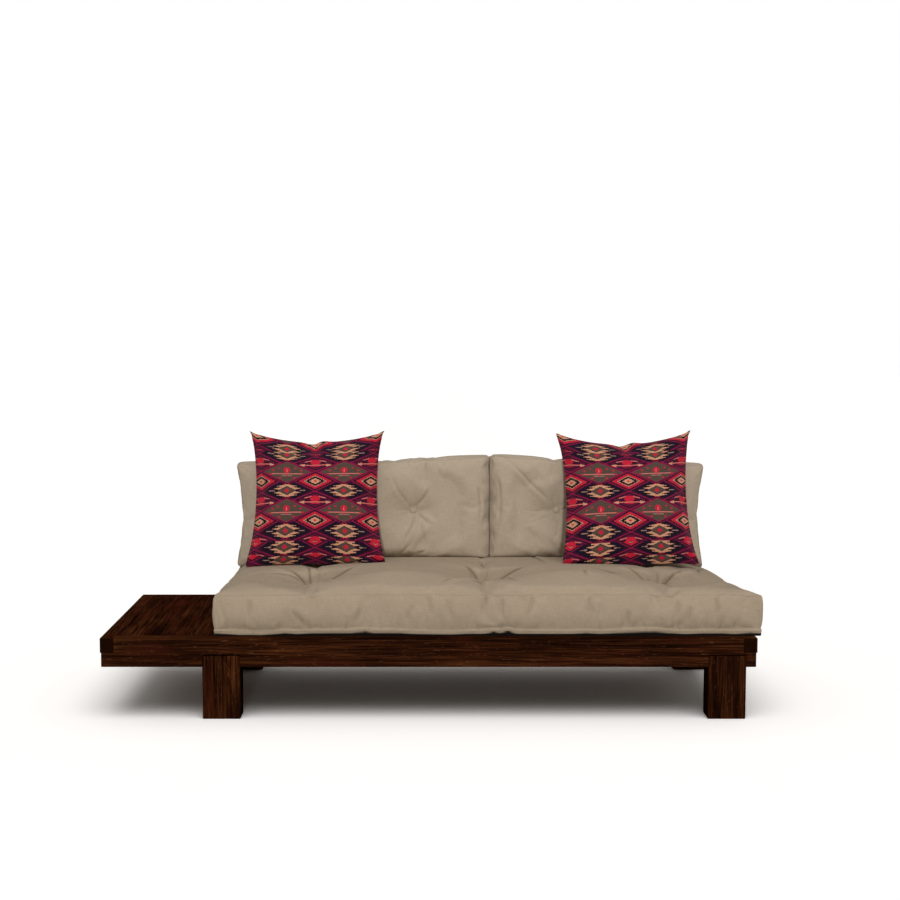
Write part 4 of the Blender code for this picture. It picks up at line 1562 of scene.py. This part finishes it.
@dataclass
class ThrowPillow:
    """A knife-edged kilim pillow that leans on a back cushion."""

    hand: str
    middle: Vector
    turn: Euler
    notch: float
    top_sag: float
    foot_drop: Flat
    foot_forward: Flat
    size: float = 0.54
    thickness: float = 0.15
    draw_in: float = 0.022
    foot_draw_in: float = 0.008
    ear: float = 0.0065
    foot_corner: float = 0.024
    foot_spread: float = 0.013
    notch_depth: float = 0.007
    notch_width: float = 0.1
    hump_height: float = 0.006
    hump_aside: float = 0.19
    hump_width: float = 0.09
    fullness: float = 0.6
    seam_hold: float = 0.35
    cells: int = 60
    filling: Filling = Filling(2.0, 0.03, 0.08, 0.02, 0.01, 0.002)

    def name(self) -> str:
        """The pillow's node and body."""
        return f"pillow_{self.hand}"

    def face(self, u: Array, v: Array, side: int) -> Array:
        """One panel's points, upright and centred.

        Args:
            u: Places across, from -1 to 1.
            v: Places up, from -1 to 1.
            side: -1 for the front and 1 for the rear.

        Returns:
            The points.
        """
        half = self.size / 2
        ear = self.ear * (u * v) ** 10
        x, z = rounded(u * half, v * half, (half, half), self.foot_corner)
        x = np.where(v > 0, u * half, x) + u * (ear - self.draw_in * (1 - v**2))
        drawn = np.where(v > 0, self.draw_in, self.foot_draw_in) * (1 - u**2)
        z = np.where(v > 0, v * half, z) + v * (ear - drawn)
        sag = np.maximum(v, 0.0) ** 3
        z = z - self.top_sag * (1 - u**2) * sag
        z = z - dimple(u - self.notch, self.notch_width, self.notch_depth) * sag
        z = z + dimple(u - self.notch - self.hump_aside, self.hump_width, self.hump_height) * sag
        foot = np.clip((1 - v) / 2, 0.0, 1.0) ** 3
        x = x + u * self.foot_spread * foot
        z = z - np.interp(u, (-1.0, 1.0), self.foot_drop) * foot
        bulge = np.maximum((1 - u**2) * (1 - v**2), 0.0) ** self.fullness
        forward = np.interp(u, (-1.0, 1.0), self.foot_forward) * foot**0.5
        return np.stack([x, side * self.thickness / 2 * bulge - forward, z], axis=-1)

    def set_up(self, points: Array) -> Array:
        """Lean points back and stand them in the pillow's place."""
        return points @ np.array(self.turn.to_matrix()).T + np.array(self.middle)

    def cover(self) -> Cover:
        """Sew the cover: two panels joined at one seam.

        Returns:
            The cover.
        """
        u, v = panel_grid(self.cells, self.cells)
        front = self.face(u, v, -1)
        rear = self.face(u, v, 1)
        shell = Shell()
        front_numbers = shell.add(self.set_up(front))
        inner = shell.add(self.set_up(rear[1:-1, 1:-1]))
        rear_numbers = front_numbers.copy()
        rear_numbers[1:-1, 1:-1] = inner
        half = self.size / 2
        flat = np.stack([u * half, v * half], axis=-1)
        shell.panel(front_numbers, flat)
        shell.panel(rear_numbers, flat)
        piece = shell.build(f"{self.name()}_cover")
        held = np.zeros(shell.count)
        held[border(front_numbers)] = self.seam_hold
        held[front_numbers[[0, 0, -1, -1], [0, -1, 0, -1]]] = 1.0
        return Cover(piece, self.filling, held)

    def crease(self, cover: Cover) -> None:
        """Draw the folds that pull in from the corners and from the knocked-in top.

        Args:
            cover: The pillow's cover.
        """
        turn = self.turn.to_matrix()
        notch = self.notch * self.size / 2
        folds = [
            Crease(((-0.235, 0.235), (-0.17, 0.15), (-0.11, 0.11)), 0.004, 0.011),
            Crease(((0.235, 0.235), (0.18, 0.14), (0.12, 0.1)), 0.004, 0.011),
            Crease(((-0.24, -0.24), (-0.17, -0.165), (-0.11, -0.13)), 0.004, 0.011),
            Crease(((0.24, -0.24), (0.175, -0.175), (0.11, -0.15)), 0.004, 0.011),
            Crease(((0.236, 0.07), (0.205, 0.000), (0.222, -0.09)), 0.005, 0.01),
            Crease(((notch, 0.225), (notch, 0.17), (0.01, 0.11)), 0.005, 0.011),
        ]
        for side in (-1, 1):
            cover.crease(folds, (turn @ RIGHT, turn @ UP, turn @ BACK * side), self.middle)


class Recipe:
    """A Geometry Nodes tree with named inputs, which sets out what repeats."""

    def __init__(self, name: str) -> None:
        """Start a tree that takes a geometry.

        Args:
            name: The tree's name.
        """
        self.tree = bpy.data.node_groups.new(name, "GeometryNodeTree")
        self.sockets: dict[str, str] = {}
        self.tree.interface.new_socket("Geometry", in_out="INPUT", socket_type="NodeSocketGeometry")
        self.tree.interface.new_socket("Geometry", in_out="OUTPUT", socket_type="NodeSocketGeometry")
        self.start = self.tree.nodes.new("NodeGroupInput")
        self.end = self.tree.nodes.new("NodeGroupOutput")

    def asks(self, name: str, kind: str) -> None:
        """Add a named input of a socket type."""
        socket = self.tree.interface.new_socket(name, in_out="INPUT", socket_type=kind)
        self.sockets[name] = socket.identifier

    def step(self, kind: str, **values: object) -> Node:
        """Add a node, with its settings and inputs."""
        return add_node(self.tree, kind, **values)

    def ends_with(self, instances: NodeSocket) -> None:
        """Make the instances real, smooth and finished, and hand them out.

        Args:
            instances: The copies that the tree has set out.
        """
        real = self.step("GeometryNodeRealizeInstances", Geometry=instances)
        smooth = self.step("GeometryNodeSetShadeSmooth", Geometry=real.outputs[0])
        material = self.start.outputs["Material"]
        finish = self.step("GeometryNodeSetMaterial", Geometry=smooth.outputs[0], Material=material)
        self.tree.links.new(finish.outputs[0], self.end.inputs[0])

    def make(self, name: str, mesh: Mesh, **values: object) -> Object:
        """Run the tree on a mesh and keep the result as a plain piece.

        Args:
            name: The piece's name.
            mesh: The path or points that the tree works on.
            values: The named inputs.

        Returns:
            The piece.
        """
        piece = add_object(name, mesh)
        modifier = piece.modifiers.new("recipe", "NODES")
        modifier.node_group = self.tree
        for key, value in values.items():
            modifier[self.sockets[key]] = value
        plain_mesh(piece)
        return piece


def stitch_recipe() -> Recipe:
    """Write the tree that sets stitches at a pitch along a path.

    Returns:
        The tree.
    """
    recipe = Recipe("seam_stitches")
    for name in ("Pitch", "Length", "Thickness"):
        recipe.asks(name, "NodeSocketFloat")
    recipe.asks("Material", "NodeSocketMaterial")
    given = recipe.start.outputs
    path = recipe.step("GeometryNodeMeshToCurve", Mesh=given["Geometry"])
    resample = {"mode": "LENGTH", "Curve": path.outputs[0], "Length": given["Pitch"]}
    spaced = recipe.step("GeometryNodeResampleCurve", **resample)
    tangent = recipe.step("GeometryNodeInputTangent")
    turn = recipe.step("FunctionNodeAlignRotationToVector", axis="X", Vector=tangent.outputs[0])
    size = recipe.step("ShaderNodeCombineXYZ", X=given["Length"], Y=given["Thickness"], Z=given["Thickness"])
    stitch = recipe.step("GeometryNodeMeshUVSphere", Segments=6, Rings=4, Radius=0.5)
    placed = recipe.step(
        "GeometryNodeInstanceOnPoints",
        Points=spaced.outputs[0],
        Instance=stitch.outputs["Mesh"],
        Rotation=turn.outputs[0],
        Scale=size.outputs[0],
    )
    recipe.ends_with(placed.outputs[0])
    return recipe


def setting_recipe() -> Recipe:
    """Write the tree that sets a small piece on every point, facing the way that the point says.

    Returns:
        The tree.
    """
    recipe = Recipe("set_on_points")
    recipe.asks("Piece", "NodeSocketObject")
    recipe.asks("Material", "NodeSocketMaterial")
    given = recipe.start.outputs
    facing = recipe.step("GeometryNodeInputNamedAttribute", data_type="FLOAT_VECTOR", Name="facing")
    turn = recipe.step("FunctionNodeAlignRotationToVector", axis="Z", Vector=facing.outputs["Attribute"])
    piece = recipe.step("GeometryNodeObjectInfo", Object=given["Piece"])
    placed = recipe.step(
        "GeometryNodeInstanceOnPoints",
        Points=given["Geometry"],
        Instance=piece.outputs["Geometry"],
        Rotation=turn.outputs[0],
    )
    recipe.ends_with(placed.outputs[0])
    return recipe


def path_mesh(name: str, points: Array) -> Mesh:
    """A run of edges through points and back to the first.

    Args:
        name: The mesh's name.
        points: The points in order.

    Returns:
        The mesh.
    """
    count = len(points)
    edges = [(index, (index + 1) % count) for index in range(count)]
    mesh = bpy.data.meshes.new(name)
    mesh.from_pydata(points.tolist(), edges, [])
    return mesh


def facing_points(name: str, points: Sequence[Vector], facings: Sequence[Vector]) -> Mesh:
    """Loose points that each say which way they face.

    Args:
        name: The mesh's name.
        points: Where they are.
        facings: Which way each faces.

    Returns:
        The mesh.
    """
    mesh = bpy.data.meshes.new(name)
    mesh.from_pydata([tuple(point) for point in points], [], [])
    stored = mesh.attributes.new("facing", "FLOAT_VECTOR", "POINT")
    stored.data.foreach_set("vector", np.array([tuple(f) for f in facings], np.float32).ravel())
    return mesh


def level_ring(radii: Sequence[float], angles: Sequence[float], height: float) -> list[Triple]:
    """Points round the Z axis at one height."""
    return [(r * math.cos(a), r * math.sin(a), height) for r, a in zip(radii, angles)]


def ring_mesh(name: str, rings: Sequence[Sequence[Triple]]) -> Mesh:
    """A small turned or star-shaped solid, closed at both ends.

    Args:
        name: The mesh's name.
        rings: Rings of points with as many points each, from the foot to the inside.

    Returns:
        The mesh.
    """
    shell = bmesh.new()
    loops = [[shell.verts.new(point) for point in ring] for ring in rings]
    count = len(loops[0])
    for lower, upper in zip(loops, loops[1:]):
        for index in range(count):
            after = (index + 1) % count
            shell.faces.new((lower[index], lower[after], upper[after], upper[index]))
    shell.faces.new(loops[0])
    shell.faces.new(loops[-1])
    bmesh.ops.recalc_face_normals(shell, faces=shell.faces[:])
    mesh = bpy.data.meshes.new(name)
    shell.to_mesh(mesh)
    shell.free()
    return mesh


@dataclass
class Fittings:
    """Screws, covered buttons, seam stitches and tuft ties, each set out by a tree."""

    steel: Material
    cotton: Material
    thread: Material
    stitches: Recipe = field(default_factory=stitch_recipe)
    setting: Recipe = field(default_factory=setting_recipe)
    screw_radius: float = 0.0042
    screw_profile: tuple[Flat, ...] = ((1.0, -0.0006), (1.0, 0.0003), (0.8, 0.0009))
    cross_arm: float = 0.00185
    cross_neck: float = 0.0007
    cross_heights: Flat = (0.0011, 0.0002)
    button_radius: float = 0.013
    button_height: float = 0.0085
    button_profile: tuple[Flat, ...] = (
        (0.82, 0.0), (1.0, 0.14), (1.03, 0.3), (0.95, 0.52), (0.74, 0.8), (0.42, 0.96), (0.12, 1.0),
    )
    button_sides: int = 28
    button_gathers: int = 7
    button_gather: float = 0.022
    tie_half: float = 0.009
    tie_radius: float = 0.0016
    tie_height: float = 0.0018
    tie_rise: float = 0.0016
    tie_sides: int = 8
    tie_rings: int = 9
    stitch_pitch: float = 0.0085
    stitch_length: float = 0.006
    stitch_thickness: float = 0.0014
    stitch_lift: float = 0.15

    def set_out(
        self,
        name: str,
        sample: Mesh,
        points: Sequence[Vector],
        facings: Sequence[Vector],
        material: Material,
    ) -> Object:
        """Put a copy of a small piece on every point.

        Args:
            name: The finished piece's name.
            sample: The small piece.
            points: Where copies go.
            facings: Which way each faces.
            material: Their finish.

        Returns:
            All copies as one piece.
        """
        holder = add_object(f"{name}_sample", sample)
        mesh = facing_points(name, points, facings)
        piece = self.setting.make(name, mesh, Piece=holder, Material=material)
        bpy.data.objects.remove(holder, do_unlink=True)
        LOG.info("%s: %d copies", name, len(points))
        return piece

    def screw(self) -> Mesh:
        """Make a raised screw head with a cross recess.

        Returns:
            The mesh, whose seat is z = 0.
        """
        angles = [math.radians(90 * arm + turn) for arm in range(4) for turn in (-17, 17, 45)]
        cross = [self.cross_arm, self.cross_arm, self.cross_neck] * 4
        rings = []
        for share, height in self.screw_profile:
            rings.append(level_ring([self.screw_radius * share] * len(angles), angles, height))
        rings += [level_ring(cross, angles, height) for height in self.cross_heights]
        return ring_mesh("screw_head", rings)

    def button(self) -> Mesh:
        """Make a covered button, gathered a little at its rim.

        Returns:
            The mesh, whose seat is z = 0.
        """
        angles = [math.tau * index / self.button_sides for index in range(self.button_sides)]
        rings = []
        for share, height in self.button_profile:
            gather = self.button_gather if share > 0.9 else 0.0
            radius = self.button_radius * share
            radii = [radius * (1.0 + gather * math.cos(self.button_gathers * angle)) for angle in angles]
            rings.append(level_ring(radii, angles, self.button_height * height))
        return ring_mesh("covered_button", rings)

    def tie(self) -> Mesh:
        """Make a tuft's tie: a short twist of twine lying in the dimple.

        Returns:
            The mesh, whose seat is z = 0.
        """
        angles = [math.tau * index / self.tie_sides for index in range(self.tie_sides)]
        rings = []
        for share in np.linspace(-1.0, 1.0, self.tie_rings):
            radius = self.tie_radius * math.sqrt(max(1.0 - share**4, 0.04))
            height = self.tie_height + self.tie_rise * (1 - share**2)
            x = self.tie_half * share
            rings.append([(x, radius * math.cos(a), height + radius * math.sin(a)) for a in angles])
        return ring_mesh("tuft_tie", rings)

    def seam(self, name: str, path: Array, surface: BVHTree) -> Object:
        """Stitch along a path on a cover.

        Args:
            name: The stitches' name.
            path: Points near the cover, in order.
            surface: The cover.

        Returns:
            The stitches as one piece.
        """
        found = [surface.find_nearest(Vector(point)) for point in path]
        points = np.array([hit[0] + hit[1] * self.stitch_thickness * self.stitch_lift for hit in found])
        return self.stitches.make(
            name,
            path_mesh(name, points),
            Pitch=self.stitch_pitch,
            Length=self.stitch_length,
            Thickness=self.stitch_thickness,
            Material=self.thread,
        )


@dataclass
class Platform:
    """The stained frame: rails, legs, ledgers, boards and slats, dressed as single timbers."""

    nodes: dict[str, Object]
    pine: StainedPine = StainedPine()
    first_log: int = 300
    stave: float = 0.046
    slat_screw_inset: float = 0.016
    slat_screw_aside: float = 0.02
    ledger_screw_inset: float = 0.09
    ledger_screws: int = 9

    def grain_of(self, name: str) -> Grain:
        """Tell which way a timber's fibres run.

        Args:
            name: The timber's node.

        Returns:
            The way.
        """
        if name.startswith(("front_", "rear_")):
            return Grain.LENGTHWISE
        return Grain.UPRIGHT if name.startswith(("leg_", "dowel_")) else Grain.CROSSWISE

    def timbers(self) -> list[str]:
        """The nodes that are timber."""
        starts = ("front_", "rear_", "left_", "right_", "leg_", "dowel_", "table_", "seat_")
        return [name for name in sorted(self.nodes) if name.startswith(starts)]

    def dress(self) -> None:
        """Give every timber its own piece of stained pine."""
        for seed, name in enumerate(self.timbers(), self.first_log):
            low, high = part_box(name)
            stave = self.stave if name.startswith("leg_") else 0.0
            grain = self.grain_of(name)
            length = (high - low)[grain.value]
            wood = self.pine.material(f"pine_{name}", grain, (low + high) / 2, length, seed, stave)
            self.coat(name, wood)
        LOG.info("dressed %d timbers", len(self.timbers()))

    def coat(self, name: str, material: Material) -> None:
        """Give a node one material.

        Args:
            name: The node.
            material: The material.
        """
        mesh = self.nodes[name].data
        mesh.materials.clear()
        mesh.materials.append(material)

    def bolt_up(self, steel: Material) -> None:
        """Give the bolts their steel.

        Args:
            steel: The bolts' material.
        """
        for name in self.nodes:
            if name.startswith("bolt_"):
                self.coat(name, steel)

    def screws(self, fittings: Fittings) -> Object:
        """Screws that hold the slats down and the ledgers to the rails.

        Args:
            fittings: What sets them out.

        Returns:
            All screw heads as one piece.
        """
        points: list[Vector] = []
        facings: list[Vector] = []
        for name in sorted(self.nodes):
            low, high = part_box(name)
            middle = (low + high) / 2
            if name.startswith("seat_slat"):
                for end in (low.y + self.slat_screw_inset, high.y - self.slat_screw_inset):
                    for side in (-self.slat_screw_aside, self.slat_screw_aside):
                        points.append(Vector((middle.x + side, end, high.z)))
                        facings.append(UP)
            if name.endswith("_ledger"):
                face = high.y if middle.y < 0 else low.y
                inset = self.ledger_screw_inset
                for step in np.linspace(low.x + inset, high.x - inset, self.ledger_screws):
                    points.append(Vector((float(step), face, middle.z)))
                    facings.append(BACK * (1 if middle.y < 0 else -1))
        return fittings.set_out("slat_and_ledger_screws", fittings.screw(), points, facings, fittings.steel)


@dataclass
class SoftGoods:
    """The mattress, back cushions and pillows, with their seams, ties and buttons."""

    bed_cotton: Material
    back_cotton: Material
    kilim: Material
    fittings: Fittings
    mattress: Mattress = field(default_factory=Mattress)
    cushions: tuple[BackCushion, ...] = ()
    pillows: tuple[ThrowPillow, ...] = ()
    meeting: float = 0.2405
    dent: float = 0.032
    frames: int = 16
    wall_look: float = 0.16
    pillow_look: float = 0.06
    cushion_look: float = 0.1
    bed_fill: float = 0.75
    fill: float = 0.7
    # How strong the painted shade is in the front wall's folds
    wall_fold_shade: float = 0.25
    # Share of the hem's height below which the mattress cloth gets a painted shadow
    hem_shade: float = 0.9
    low_seam: float = 0.003
    button_sink: float = 0.15
    seam_columns: int = 120
    seam_rows: int = 50

    def make(self) -> None:
        """Sew, stuff, fold and set down every soft piece."""
        bed = self.mattress.cover()
        backs = [cushion.cover() for cushion in self.cushions]
        throws = [pillow.cover() for pillow in self.pillows]
        settle([bed, *backs, *throws], self.frames)
        for cover in (bed, *backs, *throws):
            cover.refine()
        self.finish_mattress(bed)
        ground = surface_of(bed.piece)
        walls = [self.finish_cushion(c, cover, ground) for c, cover in zip(self.cushions, backs)]
        for pillow, cover, wall in zip(self.pillows, throws, walls):
            pillow.crease(cover)
            cover.press_on(wall, BACK, self.wall_look)
            bed.press_on(surface_of(cover.piece), UP, self.pillow_look, self.dent)
        ground = surface_of(bed.piece)
        for pillow, cover in zip(self.pillows, throws):
            cover.press_on(ground, -UP, self.pillow_look)
            self.attach(cover, pillow.name(), self.kilim)

    def attach(self, cover: Cover, name: str, material: Material) -> None:
        """Finish a padded piece and let it ride on its body.

        Args:
            cover: The cover.
            name: The body that it rides on and the node that it stands for, which share a name.
            material: Its material.
        """
        piece = cover.piece
        piece.data.materials.clear()
        piece.data.materials.append(material)
        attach(piece, name)
        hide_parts(name)
        LOG.info("%s: %d faces", piece.name, len(piece.data.polygons))

    def finish_mattress(self, cover: Cover) -> None:
        """Fold the mattress, stitch its seams and tie its tufts.

        Args:
            cover: The mattress's cover.
        """
        mattress = self.mattress
        cover.crease(mattress.creases(), (RIGHT, BACK, UP), mattress.centre)
        cover.crease(mattress.front_creases(), (RIGHT, UP, -BACK), mattress.centre, self.wall_fold_shade)
        x, y, _ = (points_of(cover.piece.data) - np.array(mattress.centre)).T
        # Painted shadow on the cloth under the lower lip
        cover.paint_shadow_under(mattress.centre.z + self.hem_shade * mattress.hem_height(x, y))
        surface = surface_of(cover.piece)
        self.attach(cover, "mattress", self.bed_cotton)
        u, v = panel_grid(mattress.columns, mattress.rows)
        ring = border(mattress.top(u, v)) + np.array(mattress.centre)
        low = ring.copy()
        low[:, 2] = mattress.centre.z + mattress.lip + self.low_seam
        low[:, :2] += outward_of(border(u), border(v)) * mattress.swell
        for name, path in (("mattress_top_stitches", ring), ("mattress_low_stitches", low)):
            self.trim(self.fittings.seam(name, path, surface), "mattress")
        fittings = self.fittings
        over = mattress.centre + UP * 2 * mattress.edge_height
        points = [surface.ray_cast(over + Vector((*tuft, 0.0)), -UP)[0] for tuft in mattress.tufts()]
        facings = [UP] * len(points)
        ties = fittings.set_out("mattress_tuft_ties", fittings.tie(), points, facings, fittings.thread)
        self.trim(ties, "mattress")

    def finish_cushion(self, cushion: BackCushion, cover: Cover, ground: BVHTree) -> BVHTree:
        """Fold a back cushion, set it on the mattress, and give it buttons and stitches.

        Args:
            cushion: The cushion.
            cover: Its cover.
            ground: The mattress's surface.

        Returns:
            The cushion's surface.
        """
        name = cushion.name()
        cushion.crease(cover)
        cover.stop_at(self.meeting, 1 if cushion.rise > 0 else -1)
        cover.press_on(ground, -UP, self.cushion_look)
        surface = surface_of(cover.piece)
        self.attach(cover, name, self.back_cotton)
        points: list[Vector] = []
        facings: list[Vector] = []
        places = itertools.product(("left", "right"), ("front", "rear"))
        nodes = [f"button_{cushion.hand}_cushion_{end}_{face}" for end, face in places]
        pose = Matrix(cushion.pose().tolist())
        for node in nodes:
            low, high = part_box(node)
            out = pose @ BACK * (-1 if node.endswith("front") else 1)
            points.append((low + high) / 2 - out * self.fittings.button_height * self.button_sink)
            facings.append(out)
        fittings = self.fittings
        buttons = fittings.set_out(f"{name}_buttons", fittings.button(), points, facings, fittings.cotton)
        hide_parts(*nodes)
        self.trim(buttons, name)
        u, v = panel_grid(self.seam_columns, self.seam_rows)
        for face_name, side in (("front", -1), ("rear", 1)):
            path = cushion.set_up(border(cushion.face(u, v, side)))
            stitches = fittings.seam(f"{name}_{face_name}_stitches", path, surface)
            self.trim(stitches, name)
        return surface

    def trim(self, piece: Object, body: str) -> None:
        """Let a small sewn piece ride on its body."""
        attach(piece, body)


@dataclass
class Studio:
    """A white floor and background, soft light and the camera."""

    camera_place: Vector = field(default_factory=lambda: Vector((-0.0357, -6.1279, 1.4807)))
    camera_dip: float = 0.08646
    camera_lens: float = 63.196
    camera_shift: float = 0.03063
    dome: float = 0.56
    key: float = 1.3
    key_spread: float = 55.0
    key_tilt: float = 25.0
    key_turn: float = 6.0
    fill: float = 1.45
    fill_tilt: float = 89.3
    fill_spread: float = 4.0
    back_fill: float = 0.6
    horizon: Colour = (0.2, 0.12, 0.05)
    floor_seen: Colour = (1.34, 1.325, 1.31)
    floor_light: float = 0.55
    floor_half: float = 30.0

    def build(self) -> None:
        """Make the whole studio."""
        self.camera()
        self.floor()
        self.sky()
        self.lamps()
        bpy.context.scene.view_settings.view_transform = "Standard"

    def camera(self) -> None:
        """The photograph's camera."""
        data = bpy.data.cameras.new("camera")
        data.sensor_width = 36.0
        data.lens = self.camera_lens
        data.shift_x = self.camera_shift
        camera = add_object("camera", data)
        camera.location = self.camera_place
        camera.rotation_euler = (math.pi / 2 - self.camera_dip, 0.0, 0.0)
        bpy.context.scene.camera = camera

    def seen(self, tree: NodeTree) -> NodeSocket:
        """Tell the rays that show the background itself from those that light the object.

        Args:
            tree: The node tree.

        Returns:
            A socket that is 1 on the rays that show it, and else 0.
        """
        rays = tree.nodes.new("ShaderNodeLightPath")
        shown = [Term(tree, rays.outputs[f"Is {kind} Ray"]) for kind in ("Camera", "Transmission")]
        return shown[0].calc("MAXIMUM", *shown).socket

    def floor(self) -> None:
        """A plain white floor that takes the shadow."""
        half = self.floor_half
        mesh = bpy.data.meshes.new("floor")
        corners = [(-half, -half, 0.0), (half, -half, 0.0), (half, half, 0.0), (-half, half, 0.0)]
        mesh.from_pydata(corners, [], [(0, 1, 2, 3)])
        material = bpy.data.materials.new("white_floor")
        material.use_nodes = True
        tree = material.node_tree
        tree.nodes.remove(tree.nodes["Principled BSDF"])
        slots = colour_blend(tree)
        slots["A_Color"].default_value = (self.floor_light, self.floor_light, self.floor_light, 1.0)
        slots["B_Color"].default_value = (*self.floor_seen, 1.0)
        tree.links.new(self.seen(tree), slots["Factor_Float"])
        cover = add_node(tree, "ShaderNodeBsdfDiffuse", Color=slots["Result_Color"])
        tree.links.new(cover.outputs[0], tree.nodes["Material Output"].inputs["Surface"])
        mesh.materials.append(material)
        floor = add_object("floor", mesh)

    def sky(self) -> None:
        """A white surround that shows as white and lights softly."""
        world = bpy.data.worlds.new("studio")
        bpy.context.scene.world = world
        world.use_nodes = True
        tree = world.node_tree
        seen = self.seen(tree)
        shade = add_node(tree, "ShaderNodeMapRange", Value=seen, To_Min=self.dome, To_Max=1.0)
        tree.links.new(shade.outputs["Result"], tree.nodes["Background"].inputs["Strength"])
        way = tree.nodes.new("ShaderNodeTexCoord")
        split = add_node(tree, "ShaderNodeSeparateXYZ", Vector=way.outputs["Generated"])
        tint = add_node(tree, "ShaderNodeValToRGB", Fac=split.outputs["Z"])
        tint.color_ramp.elements[0].color = (*self.horizon, 1.0)
        tint.color_ramp.elements[1].color = (1.0, 1.0, 1.0, 1.0)
        slots = colour_blend(tree)
        slots["B_Color"].default_value = (1.0, 1.0, 1.0, 1.0)
        tree.links.new(tint.outputs["Color"], slots["A_Color"])
        tree.links.new(seen, slots["Factor_Float"])
        tree.links.new(slots["Result_Color"], tree.nodes["Background"].inputs["Color"])

    def lamps(self) -> None:
        """A broad light from above, and level ones that open up the front and the back."""
        self.lamp("overhead", self.key, self.key_spread, self.key_tilt, self.key_turn)
        self.lamp("front_fill", self.fill, self.fill_spread, self.fill_tilt, 0.0)
        self.lamp("back_fill", self.back_fill, self.fill_spread, self.fill_tilt, 180.0)

    def lamp(self, name: str, strength: float, spread: float, tilt: float, turn: float) -> None:
        """Add a far lamp.

        Args:
            name: The lamp's name.
            strength: Its light.
            spread: How wide it looks, in degrees.
            tilt: Its angle from straight above, towards the front, in degrees.
            turn: Its turn about the vertical, in degrees.
        """
        data = bpy.data.lights.new(name, "SUN")
        data.energy = strength
        data.angle = math.radians(spread)
        lamp = add_object(name, data)
        lamp.rotation_euler = (math.radians(tilt), 0.0, math.radians(turn))


def cushions() -> tuple[BackCushion, ...]:
    """Lay out the two back cushions, with the folds that show between the pillows.

    Returns:
        The left one and the right one.
    """
    left = (
        Crease(((0.214, 0.238), (0.244, 0.272), (0.296, 0.342)), 0.0055, 0.007),
        Crease(((0.206, 0.205), (0.198, 0.16), (0.164, 0.098), (0.146, 0.05)), 0.0065, 0.008),
        Crease(((0.19, 0.245), (0.16, 0.285), (0.134, 0.33), (0.098, 0.395)), 0.005, 0.008),
        Crease(((0.186, 0.224), (0.15, 0.225), (0.112, 0.222)), 0.003, 0.006),
        Crease(((0.224, 0.21), (0.257, 0.181), (0.304, 0.156)), 0.004, 0.007),
        Crease(((0.257, 0.425), (0.254, 0.39), (0.263, 0.35)), 0.003, 0.008),
        Crease(((0.236, 0.175), (0.25, 0.12), (0.257, 0.055)), 0.0035, 0.008),
        Crease(((0.182, 0.078), (0.16, 0.052), (0.135, 0.034)), 0.005, 0.008),
        Crease(((0.262, 0.058), (0.23, 0.048), (0.195, 0.038)), 0.005, 0.008),
        Crease(((0.47, 0.33), (0.48, 0.25), (0.472, 0.12)), 0.004, 0.01),
    )
    right = (
        Crease(((-0.172, 0.246), (-0.258, 0.323), (-0.3, 0.368), (-0.345, 0.412), (-0.392, 0.44)), 0.0075),
        Crease(((-0.18, 0.226), (-0.24, 0.222), (-0.31, 0.221)), 0.004, 0.007),
        Crease(((-0.19, 0.205), (-0.25, 0.18), (-0.305, 0.162)), 0.003, 0.007),
        Crease(((-0.165, 0.195), (-0.17, 0.13), (-0.2, 0.06)), 0.004, 0.008),
        Crease(((-0.405, 0.36), (-0.396, 0.25), (-0.408, 0.12)), 0.004, 0.01),
    )
    return (
        BackCushion("left", Vector((-0.279, 0.36, 0.44904)), 1.038, 0.313, 0.03, left),
        BackCushion("right", Vector((0.68, 0.36, 0.44909)), 0.878, 0.274, -0.04, right),
    )


def pillows() -> tuple[ThrowPillow, ...]:
    """Lay out the two throw pillows in their places.

    Returns:
        The left one and the right one.
    """
    lean = -0.22689
    return (
        ThrowPillow(
            "left", Vector((-0.463, 0.21171, 0.737)), Euler((lean, -0.003, 0.0)),
            notch=-0.08, top_sag=0.014, foot_drop=(0.008, 0.014), foot_forward=(0.018, 0.028),
        ),
        ThrowPillow(
            "right", Vector((0.787, 0.21171, 0.73378)), Euler((lean, -0.02269, 0.0)),
            notch=-0.05, top_sag=0.022, foot_drop=(0.03, 0.004), foot_forward=(0.08, 0.008),
        ),
    )


def main() -> None:
    """Dress the whole bench and set up the studio."""
    logging.basicConfig(level=logging.INFO, format="%(name)s: %(message)s")
    steel = BlackSteel().material()
    cotton = KhakiCotton()
    fittings = Fittings(steel, cotton.material("cotton_buttons", ClothPlace.SOLID), Twine().material())
    platform = Platform(frame["nodes"])
    platform.dress()
    platform.bolt_up(steel)
    screws = platform.screws(fittings)
    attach(screws, "frame")
    goods = SoftGoods(
        # The mattress takes the cushions' cotton painted a little darker as shade, with more painted shade
        # in its folds
        KhakiCotton(stain(166, 149, 127), fold_shade_share=0.85).material("cotton_mattress", ClothPlace.PANEL),
        cotton.material("cotton_cushions", ClothPlace.PANEL),
        KilimWeave().material(),
        fittings,
        cushions=cushions(),
        pillows=pillows(),
    )
    goods.make()
    Studio().build()


if __name__ == "__main__":
    main()
